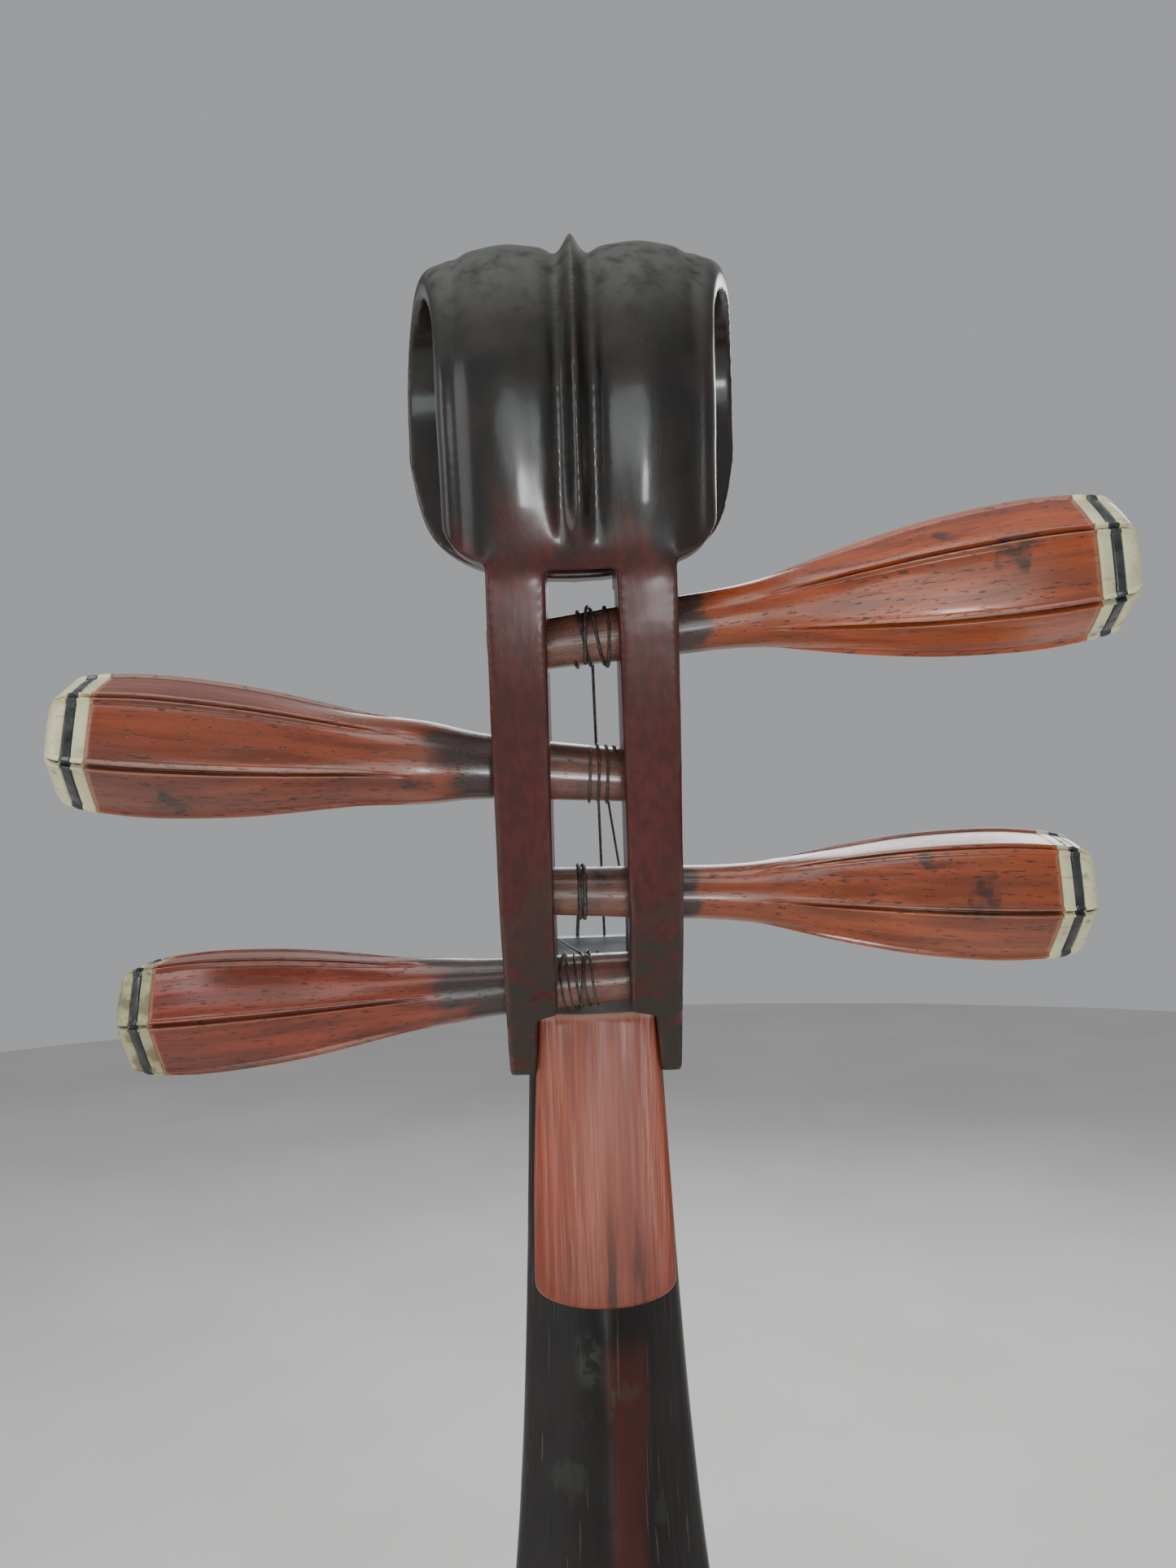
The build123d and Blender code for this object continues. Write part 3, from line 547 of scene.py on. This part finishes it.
def neck_lacquer():
    """Black-brown lacquer, worn red along the crest of the neck, scratched and dusty."""
    f = Finish("neck_lacquer", 0.28, coat=0.05, specular=0.35)
    x, z = f.axis("X"), f.axis("Z")
    grain = f.noise(500, (1, 1, 0.03), detail=5)
    base = f.blend(f.noise(45, detail=6), (0.004, 0.003, 0.0028), (0.009, 0.006, 0.005))
    base = f.blend(f.times(grain, 0.25), base, (0.014, 0.006, 0.005))
    off = f.away_from(f.wavering("X", f.noise(60, (1, 1, 0.4), detail=5), 2), -4.5)
    band = f.times(f.between_mm(off, 6.2, 2.8), f.between_mm(z, 676, 664), f.between_mm(z, 550, 600))
    patchy = f.noise(200, (1, 1, 0.2), detail=6, low=0.12, high=0.5)
    band = f.times(band, patchy, f.between(f.facing("Y"), 0, 0.4))
    base = f.blend(f.times(band, 0.8), base, (0.06, 0.009, 0.006))
    scratch = f.noise(1300, (1, 1, 0.02), detail=1, low=0.69, high=0.72)
    base = f.blend(f.times(scratch, 0.5), base, (0.09, 0.07, 0.06))
    spot = f.times(f.between_mm(f.away_from(x, 4), 4.5, 1), f.between_mm(f.away_from(z, 668), 9, 2),
                   f.noise(350, detail=6, low=0.4, high=0.6))
    scuff = f.larger(spot, f.times(f.noise(120, (1, 1, 0.5), detail=8, low=0.62, high=0.7), 0.6))
    base = f.blend(f.times(scuff, 0.4), base, (0.045, 0.05, 0.04))
    f.colour(base)
    f.rough(f.between(f.larger(scuff, f.noise(30, detail=5, low=0.3, high=0.8)), 0, 1, 0.22, 0.55))
    f.bump(grain, 0.04)
    f.bump(f.noise(25, detail=2), 0.5, 0.4)
    return f.material


def tenon_lacquer():
    """Dark lacquer with a pale layer of dust on the top."""
    f = Finish("tenon_lacquer", 0.4, specular=0.35)
    base = f.blend(f.noise(200, (1, 1, 0.2), detail=5), (0.008, 0.006, 0.005), (0.02, 0.012, 0.01))
    dust = f.times(f.between(f.facing("Z"), 0.3, 0.7), f.noise(500, detail=7, low=0.1, high=0.5))
    f.colour(f.blend(f.times(dust, 0.9), base, (0.3, 0.3, 0.27)))
    f.rough(f.between(dust, 0, 1, 0.35, 0.9))
    f.bump(f.noise(900, detail=5), 0.05)
    return f.material


def light_wood(name, pale, deep, across=420):
    """Straight-grained pale wood."""
    f = Finish(name, 0.55)
    grain = f.noise(across, (1, 1, 0.012), detail=6)
    wood = f.blend(grain, deep, pale)
    wood = f.blend(f.times(f.noise(20, (1, 1, 0.3), detail=5), 0.4), wood, shade(deep, 0.7))
    pores = f.noise(2600, (1, 1, 0.03), detail=1, low=0.66, high=0.72)
    f.colour(f.blend(f.times(pores, 0.5), wood, shade(deep, 0.35)))
    f.rough(f.between(grain, 0, 1, 0.62, 0.48))
    f.bump(grain, 0.05)
    return f.material


def horn(name, pale, deep, roughness):
    """Streaked horn, polished on its crests."""
    f = Finish(name, roughness, coat=0.3)
    streak = f.noise(160, (0.12, 1, 1), detail=6)
    base = f.blend(streak, deep, pale)
    cloudy = f.noise(90, detail=4)
    f.colour(f.blend(f.times(cloudy, 0.4), base, shade(deep, 0.6)))
    f.rough(f.between(f.noise(400), 0, 1, roughness, roughness + 0.15))
    f.bump(f.noise(300, (0.1, 1, 1), detail=2), 0.015)
    return f.material


def bamboo():
    """Bamboo strip: fine fibres across the instrument and a few dark flecks."""
    f = Finish("bamboo", 0.4, coat=0.15)
    fibre = f.noise(1500, (0.03, 1, 1), detail=4)
    base = f.blend(fibre, (0.34, 0.2, 0.075), (0.5, 0.34, 0.15))
    fleck = f.noise(2600, (0.05, 1, 1), detail=1, low=0.66, high=0.71)
    f.colour(f.blend(f.times(fleck, 0.6), base, (0.12, 0.06, 0.025)))
    f.rough(f.between(fibre, 0, 1, 0.36, 0.52))
    f.bump(fibre, 0.04)
    return f.material


def string_wrap():
    """Dull dark wound silk."""
    f = Finish("string_wrap", 0.45)
    f.colour(f.blend(f.noise(900), (0.03, 0.026, 0.022), (0.09, 0.08, 0.07)))
    f.rough(f.between(f.noise(700), 0, 1, 0.4, 0.6))
    f.bump(f.noise(4000, detail=1), 0.03)
    return f.material


# ------------------------------------------------------------------ body, neck, soundboard
def outline_from_frame():
    """Half width of the soundboard against height, from the CAD outline."""
    co = np.array([v.co for v in frame["nodes"]["soundboard"].data.vertices]) / MM
    side = co[(co[:, 0] > 0) & (co[:, 1] < FRONT_Y + 0.01)]
    widest = {}
    for x, _, z in side:
        level = round(float(z), 1)
        widest[level] = max(widest.get(level, 0.0), float(x))
    rim = sorted((z, x) for z, x in widest.items() if z <= BOARD_TOP_Z)
    return np.array(rim[:1] + [(z, x) for z, x in rim[1:] if x > OUTLINE_FROM_HALF])


RIM = outline_from_frame()


def half_width(z):
    """Half width of the body or neck at height z."""
    if z < BOARD_TOP_Z:
        return float(np.interp(z, RIM[:, 0], RIM[:, 1]))
    return through(STATIONS, z, 1)


def back_y(x, z):
    """Depth of the carved back at x, z."""
    crown, power, half = (through(STATIONS, z, k) for k in (2, 3, 1))
    return crown - (abs(x) / (ARCH_REACH * half)) ** power * (crown - RIM_Y)


def body_ring(z):
    """Closed section of back and neck, edges rounded."""
    half = half_width(z)
    front = SEAM_Y if z < BOARD_TOP_Z else FRONT_Y
    back = []
    for i in range(BACK_STEPS + 1):
        x = half * sin(pi / 2 * (2 * i / BACK_STEPS - 1))
        over = max(0.0, abs(x) - (half - BACK_EDGE)) / BACK_EDGE
        fall = BACK_EDGE * (1 - sqrt(max(0.0, 1 - over * over)))
        back.append((x, back_y(x, z) - fall, z))
    low = back[-1][1]
    side = [(half, low + t * (front + FRONT_EDGE - low), z) for t in (0.33, 0.66, 1.0)]
    corner = [(half - 0.3 * FRONT_EDGE, front + 0.3 * FRONT_EDGE, z), (half - FRONT_EDGE, front, z)]
    across = [(half * t, front, z) for t in (0.6, 0.2, -0.2, -0.6)]
    right = side + corner
    return back + right + across + mirrored(right)


def make_body():
    levels = TAIL_LEVELS + heights(8, 120, 26) + heights(126, BOARD_TOP_Z - 0.2, 84)
    levels += [BOARD_TOP_Z + 0.2] + heights(560, NECK_TOP_Z - 0.6, 50) + [NECK_TOP_Z]
    body = skin("back_and_neck_carved", [body_ring(z) for z in levels])
    finish_piece(body, neck_lacquer(), "instrument", ["back_and_neck"])


def make_tenon():
    """End of the neck between the cheeks."""
    rings = []
    for across in heights(-1, 1, 12):
        fall = TENON_ARCH * across**2 + TENON_ROUND * across**12
        rings.append([(TENON_HALF * across, y, z - (fall if z > TENON_LOW_Z else 0)) for y, z in TENON_SIDE])
    tenon = skin("neck_tenon", rings)
    tenon.data.set_sharp_from_angle(angle=radians(30))
    finish_piece(tenon, tenon_lacquer(), "instrument")


def board_ring(z):
    """Closed section of the soundboard, its front edge rounded."""
    half, soft = half_width(z), BOARD_EDGE
    right = [(half - 0.4, SEAM_Y, z), (half, SEAM_Y - 0.3, z), (half, FRONT_Y + soft, z),
             (half - 0.3 * soft, FRONT_Y + 0.3 * soft, z), (half - soft, FRONT_Y, z)]
    across = [(half * t, FRONT_Y, z) for t in (0.8, 0.5, 0.2, -0.2, -0.5, -0.8)]
    return right + across + mirrored(right)


def make_board():
    levels = TAIL_LEVELS + heights(8, 120, 26) + heights(126, BOARD_TOP_Z - 0.01, 84)
    board = skin("soundboard_face", [board_ring(z) for z in levels])
    wood = light_wood("paulownia", (0.42, 0.28, 0.15), (0.31, 0.19, 0.09), across=260)
    finish_piece(board, wood, "instrument", ["soundboard"])


# ------------------------------------------------------------------ heel block
def block_outline(count=40):
    """Back view of the heel block: domed top, spreading sides, round lower end."""
    top, low = BLOCK_TOP_Z, BLOCK_BOTTOM_Z + BLOCK_ROUND
    shares = [i / count for i in range(count)]

    def side(t):
        half = BLOCK_TOP_HALF + (BLOCK_BOTTOM_HALF - BLOCK_TOP_HALF) * t + BLOCK_BELLY * sin(pi * t)
        return half, top + (low - top) * t

    points = [(BLOCK_TOP_HALF * (1 - 2 * t), top + BLOCK_DOME * (1 - (1 - 2 * t) ** 2)) for t in shares]
    points += [(-x, z) for x, z in map(side, shares)]
    for t in shares + [1.0]:
        points.append((-BLOCK_BOTTOM_HALF * cos(pi * t), low - BLOCK_ROUND * max(0.0, sin(pi * t)) ** 0.75))
    points += [side(1 - t) for t in shares[1:]]
    return points


def block_face_y(x):
    """Depth of the block's back face, x from its middle."""
    return BLOCK_BACK_Y - BLOCK_CROWN * (x / BLOCK_CROWN_REACH) ** 2


def block_slope_z(y):
    """Height of the block's sloped top at depth y."""
    return BLOCK_SLOPE_Z - BLOCK_SLOPE * max(0.0, y - BLOCK_SEAT_Y)


def make_block():
    """Heel block: straight sides, a rounded edge, then the crowned back face in shrinking rings."""
    outline = block_outline()
    middle_z = (BLOCK_TOP_Z + BLOCK_BOTTOM_Z) / 2

    def on_face(x, z, depth, inset):
        length = hypot(x, (z - middle_z) * 0.4) or 1.0
        x -= inset * x / length
        z -= inset * (z - middle_z) / max(abs(z - middle_z), 6)
        y = block_face_y(x) - depth
        return (BLOCK_X + x, y, min(z, block_slope_z(y)))

    rings = []
    for y in (BLOCK_LOW_Y, 11.0, 11.4, 12.5, 14.0, 15.5):
        rings.append([(BLOCK_X + x, min(y, block_face_y(x) - BLOCK_EDGE - 0.2), min(z, block_slope_z(y)))
                      for x, z in outline])
    for angle in heights(0, pi / 2, 5):
        depth, inset = BLOCK_EDGE * (1 - sin(angle)), BLOCK_EDGE * (1 - cos(angle))
        rings.append([on_face(x, z, depth, inset) for x, z in outline])
    for s in (0.9, 0.75, 0.55, 0.35, 0.15, 0.03):
        rings.append([on_face(x * s, middle_z + (z - middle_z) * s, 0, BLOCK_EDGE * s) for x, z in outline])
    block = skin("heel_block_carved", rings)
    mark_edges(block)
    finish_piece(block, block_wood(), "instrument", ["heel_block"])


# ------------------------------------------------------------------ head and pegbox
def relax(co, share, around, times):
    """Moves each point towards its neighbours' mean, by its share, in place."""
    for _ in range(times):
        co += share[:, None] * (around(co) - co)


def carve_head(mesh):
    """Relief on plate and curl, the plate run into the cheeks, the curl's front narrowed to one side."""
    co, normal = read_vectors(mesh, "co") / MM, read_vectors(mesh, "normal")
    x, y, z = co.T            # views, so they follow co as it changes
    around = averager(mesh)
    # the plate's lower end flows into the cheeks
    beside_slot = np.maximum(smooth(7.2, 8.4, abs(x)), smooth(841.2, 842.6, z))
    merge = smooth(17.3, 15.6, abs(x)) * beside_slot * smooth(70.5, 72, y)
    merge *= smooth(830, 836, z) * smooth(858, 848, z)
    relax(co[:, 1:], merge, around, 90)
    # relief on the outer face
    away = np.stack([0 * x, y - CURL_Y, np.maximum(z - CURL_Z, 0)], axis=1)
    away /= np.maximum(np.linalg.norm(away, axis=1), 1e-6)[:, None]
    outer = smooth(0.15, 0.5, (normal * away).sum(axis=1))
    for _ in range(8):
        outer = around(outer)
    outer *= smooth(843, 852, z)
    relax(co, 0.5 * outer, around, 24)
    relief = sum(hump(abs(x), *shape) for shape in (RIDGE, GROOVE, LOBE))
    relief += hump(abs(x), *RIM_GROOVE) * smooth(40, 60, y)
    relief += BOW * smooth(843, 866, z) * smooth(893, 866, z) * smooth(60, 70, y)
    co += (outer * relief)[:, None] * away
    relax(co, 0.5 * outer, around, 3)
    # the curl's front end is a little narrower and to one side
    front = smooth(58, 28, y) * (z > 840)
    co[:, 0] += front * (CURL_SHIFT - CURL_NARROWING * x)
    # the cheeks' lower ends are rounded off
    co[:, 1] -= 1.2 * smooth(744, 734, z) * smooth(11, 17, y)
    mesh.vertices.foreach_set("co", (co * MM).astype(np.float32).ravel())
    mesh.update()


def make_head():
    """Head and cheeks: an even mesh drawn over the CAD node, its edges softened, then carved."""
    source = frame["nodes"]["pegbox_head"]
    head = link("pegbox_head_carved", source.data.copy())
    work = bmesh.new()
    work.from_mesh(head.data)
    bmesh.ops.remove_doubles(work, verts=work.verts, dist=2e-6)
    work.to_mesh(head.data)
    work.free()
    remesh = head.modifiers.new("carve", "REMESH")
    remesh.mode = "VOXEL"
    remesh.voxel_size = CARVE_VOXEL * MM
    for name, times in (("even", 6), ("soften", 9)):
        soften = head.modifiers.new(name, "SMOOTH")
        soften.factor = 0.5
        soften.iterations = times
        if name == "even":
            wrap = head.modifiers.new("onto_cad", "SHRINKWRAP")
            wrap.target = source
            wrap.wrap_method = "NEAREST_SURFACEPOINT"
    bpy.context.view_layer.update()
    evaluated = head.evaluated_get(bpy.context.evaluated_depsgraph_get())
    mesh = bpy.data.meshes.new_from_object(evaluated)
    head.modifiers.clear()
    head.data = mesh
    shade_smooth(mesh)
    carve_head(mesh)
    mark_edges(head, 4)
    finish_piece(head, head_lacquer(), "instrument", ["pegbox_head"])


# ------------------------------------------------------------------ pegs
def peg_matrix(n):
    """Peg n's own frame: origin in the slot, +Z to the knob, +X facing backwards."""
    joint = next(j for j in frame["joints"] if j["name"] == f"peg_{n}_turn")
    axis, centre = Vector(joint["axis"]).normalized(), Vector(joint["pos_m"])
    sign = 1 if axis.z > 0 else -1
    lean = atan2(axis.y * sign, axis.z * sign)
    out = Vector((0, cos(lean), -sin(lean)))
    side = axis.cross(out)
    turn = Matrix((out, side, axis)).transposed()
    return Matrix.Translation(centre) @ turn.to_4x4()


def half_span(n):
    """Distance along peg n from the middle of the slot to the outer face of the cheek."""
    matrix = peg_matrix(n)
    part = (matrix.translation.z / MM - PEGBOX_LOW_Z) / (PEGBOX_HIGH_Z - PEGBOX_LOW_Z)
    half = PEGBOX_HALF_LOW + part * (PEGBOX_HALF_HIGH - PEGBOX_HALF_LOW)
    return half / abs(matrix.col[2].x)


def shaft_radius(n, u):
    """Radius of the tapered shaft at distance u from the slot's middle."""
    span = half_span(n)
    return SHAFT_FAR[n] + (u + span) / (2 * span) * (SHAFT_NEAR[n] - SHAFT_FAR[n])


def knob_directions(n):
    """Directions round peg n in radians, each with its distance in degrees from the nearest corner."""
    return [(radians(FACET_TURN[n] + 60 * k + turn), abs((turn + 30) % 60 - 30))
            for k in range(6) for turn in FACET_ANGLES]


def round_section(n, u, radius):
    return [(radius * cos(a), radius * sin(a), u) for a, _ in knob_directions(n)]


def knob_section(n, u, radius, facets, beads):
    """Ring at height u: round at facets 0, six-sided at 1; beads raises the beads beside each corner."""
    ring = []
    for a, off in knob_directions(n):
        rise = cos(radians(30)) * (1 / cos(radians(30 - off)) - 1)
        hexagon = radius * min(FLAT_MIDDLE + FLAT_RISE * rise, 1.0)
        relief = sum(hump(off, *shape) for shape in (BEAD, CORNER_GROOVE, BEAD_FOOT))
        r = facets * hexagon + (1 - facets) * radius * ROUND_SHARE + beads * relief
        ring.append((r * cos(a), r * sin(a), u))
    return ring


def knob_radius(n, d):
    """Radius of the knob at distance d from the cheek."""
    near = SHAFT_NEAR[n] + 0.3
    swell = hump(d, NECK_SWELL[n], NECK_SWELL_AT, NECK_SWELL_WIDTH)
    return near + swell + (KNOB_RADIUS - near) * through(KNOB, d)


def peg_piece(n, name, rings, material, node):
    piece = skin(f"peg_{n}_{name}", rings, peg_matrix(n))
    mark_edges(piece, 1)
    finish_piece(piece, material, f"tuning_peg_{n}", [node])


def make_peg_wood(n):
    """Tapered shaft with a chamfered far end, then the six-sided knob."""
    span = half_span(n)
    rings = [round_section(n, -span - 0.6, 0.6 * shaft_radius(n, -span))]
    for u in heights(-span - 0.35, span, 30):
        chamfer = 0.25 if u < -span else 0.0
        rings.append(round_section(n, u, shaft_radius(n, u) - chamfer))
    for d in heights(0.8, KNOB_END, 92):
        rings.append(knob_section(n, span + d, knob_radius(n, d), smooth(12, 40, d), smooth(15, 36, d)))
    peg_piece(n, "wood", rings, peg_wood(n, span + 1), f"peg_{n}")


def make_peg_ring(n, name, low, high, low_inset, high_inset, material):
    """Inlaid ring from low to high, rounded at both edges."""
    rings = []
    for d, edge in ((low, 0.4), (low + 0.12, 0.12), (low + 0.4, 0), ((low + high) / 2, -0.06),
                    (high - 0.4, 0), (high - 0.12, 0.12), (high, 0.4)):
        inset = low_inset + (high_inset - low_inset) * (d - low) / (high - low)
        radius = knob_radius(n, KNOB_END) - inset - edge
        rings.append(knob_section(n, half_span(n) + d, radius, 1.0, 1.0))
    peg_piece(n, f"ring_{name}", rings, material, f"peg_ring_{name}_{n}")


def make_peg_cap(n, inset, material):
    """Domed end, its corners fading towards the middle."""
    rings = []
    radius = knob_radius(n, KNOB_END) - inset
    for angle in heights(0, pi / 2, 21):
        fall = max(cos(angle), 0.001) ** 0.8
        u = half_span(n) + BLACK_END + (CAP_END - BLACK_END) * sin(angle)
        rings.append(knob_section(n, u, radius * fall, 1.0 - 0.5 * sin(angle), fall**1.5))
    peg_piece(n, "cap_dome", rings, material, f"peg_cap_{n}")


def make_peg(n):
    """Wood, two rings and cap of peg n."""
    cream, share = (OLD_BONE, GRIMY_SHARE) if n == GRIMY_PEG else (CLEAN_BONE, 0.0)
    make_peg_wood(n)
    ring_bone = bone(f"bone_ring_{n}", cream, share)
    make_peg_ring(n, "white", KNOB_END, WHITE_END, -0.05, 0.3, ring_bone)
    make_peg_ring(n, "black", WHITE_END, BLACK_END, 0.3, 0.75, dark_ring())
    make_peg_cap(n, 0.75, bone(f"bone_cap_{n}", shade(cream, 1.05), share + 0.02))


# ------------------------------------------------------------------ strings
def winding_middle(n):
    """Middle of the turns along peg n, towards its knob."""
    return WINDING_X[n] * (1 if peg_matrix(n).col[2].x > 0 else -1)


def make_winding(n, material):
    """Turns of string round the shaft, the last ones crossing back, then an end in a hole through it."""
    r, back = STRING_RADIUS[n], CROSS_BACK[n]
    points = []
    for t in heights(0, 1, TURN_STEPS * TURNS[n]):
        crossing = t > 1 - back
        run = 1 - 0.75 * (t - 1 + back) / back if crossing else t / (1 - back)
        u = winding_middle(n) + WINDING_HALF[n] * (2 * run - 1) + 0.25 * r * sin(7.0 * t + n)
        a = 2 * pi * (TURNS[n] * t + 0.1 * n)
        lift = 1.9 * r * smooth(1 - back, 1 - 0.6 * back, t) if crossing else 0.0
        reach = shaft_radius(n, u) + r + lift
        points.append((reach * cos(a), reach * sin(a), u))
    x, y, u = points[-1]
    points += [(0.8 * x, 0.8 * y + 0.3, u + 0.5), (0.0, 0.0, u + 0.8)]
    turns = wire(f"winding_{n}_turns", points, r, peg_matrix(n))
    finish_piece(turns, material, f"tuning_peg_{n}", [f"winding_{n}"])


def make_string(n, material):
    """String from the bridge, over the nut, to the front of its turns."""
    r, matrix = STRING_RADIUS[n], peg_matrix(n)
    nut = Vector((STRING_NUT_X[n], NUT_TOP_Y - r, NUT_TOP_Z + r))
    centre = matrix.translation / MM + matrix.col[2].to_3d() * winding_middle(n)
    reach = shaft_radius(n, winding_middle(n)) + r
    dy, dz = centre.y - nut.y, centre.z - nut.z
    distance = hypot(dy, dz)
    turn = asin(reach / distance)
    run = sqrt(distance**2 - reach**2)
    uy, uz = dy / distance, dz / distance
    end = Vector((centre.x, nut.y + run * (uy * cos(turn) - uz * sin(turn)),
                  nut.z + run * (uz * cos(turn) + uy * sin(turn))))
    bridge = Vector((STRING_BRIDGE_X[n], STRING_BRIDGE_Y, BRIDGE_Z - 2))
    before = nut + (bridge - nut).normalized() * 1.5
    after = nut + (end - nut).normalized() * 1.5
    string = wire(f"string_{n}_line", [bridge, before, nut, after, end], r)
    finish_piece(string, material, "instrument", [f"string_{n}"])


# ------------------------------------------------------------------ light, floor, camera
def make_stage():
    """Round floor, much wider than any view of the instrument."""
    points = [(0.0, 0.0, 0.0)]
    for k in range(FLOOR_SIDES):
        a = 2 * pi * k / FLOOR_SIDES
        points.append((FLOOR_RADIUS * cos(a), FLOOR_RADIUS * sin(a), 0.0))
    faces = [(0, 1 + k, 1 + (k + 1) % FLOOR_SIDES) for k in range(FLOOR_SIDES)]
    floor = new_mesh("studio_floor", points, faces)
    f = Finish("studio_paper", 0.9)
    f.colour(f.blend(f.noise(3, detail=3), (0.66, 0.65, 0.63), (0.7, 0.69, 0.67)))
    floor.data.materials.append(f.material)


def area_light(name, place, target, size, power, colour=(1, 1, 1)):
    """Soft lamp at a place, turned to its target, all in millimetres."""
    light = bpy.data.lights.new(name, "AREA")
    light.shape = "ELLIPSE"
    light.size, light.size_y = Vector(size) * MM
    light.energy = power
    light.color = colour
    lamp = link(name, light)
    lamp.location = Vector(place) * MM
    lamp.rotation_euler = (Vector(target) - Vector(place)).to_track_quat("-Z", "Y").to_euler()


def make_lights():
    world = bpy.data.worlds.new("studio")
    bpy.context.scene.world = world
    world.use_nodes = True
    background = world.node_tree.nodes["Background"]
    background.inputs["Color"].default_value = (0.66, 0.67, 0.69, 1)
    background.inputs["Strength"].default_value = 0.56
    area_light("lamp_behind_camera", (-100, 750, 540), LIT_HEAD, (110, 110), 1.2)
    area_light("soft_above", (200, 500, 2200), LIT_HEAD, (2000, 1600), 24)
    area_light("soft_low", (100, 1300, 620), LIT_HEAD, (1000, 500), 3.6, (0.86, 1, 0.98))
    area_light("soft_side", (1500, 500, 800), LIT_HEAD, (1000, 1200), 6, (0.95, 0.98, 1))
    area_light("soft_front", (-500, -1800, 1600), LIT_BODY, (1600, 1200), 22)


def make_camera():
    """Behind the head, at the height of the pegbox, turned a little."""
    camera = bpy.data.cameras.new("camera")
    camera.sensor_fit = "VERTICAL"
    camera.sensor_height = 36.0
    camera.lens = CAMERA_LENS
    camera.clip_start = 10 * MM
    pitch, roll = radians(CAMERA_PITCH), radians(CAMERA_ROLL)
    spin = Matrix.Rotation(radians(CAMERA_YAW), 3, "Z")
    right, up, ahead = spin @ Vector((-1, 0, 0)), spin @ Vector((0, 0, 1)), spin @ Vector((0, -1, 0))
    ahead, up = cos(pitch) * ahead - sin(pitch) * up, sin(pitch) * ahead + cos(pitch) * up
    right, up = cos(roll) * right + sin(roll) * up, cos(roll) * up - sin(roll) * right
    turn = Matrix((right, up, -ahead)).transposed().to_4x4()
    place = Matrix.Translation(Vector(CAMERA_PLACE) * MM)
    bpy.context.scene.camera = link("camera", camera, place @ turn)


# ------------------------------------------------------------------ build
make_body()
make_tenon()
make_board()
make_block()
make_head()
string_material = string_wrap()
for number in PEG_NUMBERS:
    make_peg(number)
    make_winding(number, string_material)
    make_string(number, string_material)

nut_horn = horn("nut_horn", (0.16, 0.18, 0.19), (0.06, 0.07, 0.075), 0.3)
xiang_horn = horn("xiang_horn", (0.05, 0.045, 0.04), (0.012, 0.01, 0.009), 0.22)
cane = bamboo()
softened("nut", "nut_rounded", 0.6, nut_horn)
softened("bridge", "bridge_rounded", 1.2, cane)
for i in range(1, XIANG_COUNT + 1):
    softened(f"xiang_{i}", f"xiang_{i}_rounded", 0.8, xiang_horn)
for i in range(1, FRET_COUNT + 1):
    softened(f"fret_{i}", f"fret_{i}_rounded", 0.45, cane)
inner = light_wood("inner_spruce", (0.45, 0.32, 0.18), (0.3, 0.2, 0.1))
for name, obj in frame["nodes"].items():
    if name.startswith("sound_"):
        obj.data.materials.clear()
        obj.data.materials.append(inner)

make_stage()
make_lights()
make_camera()
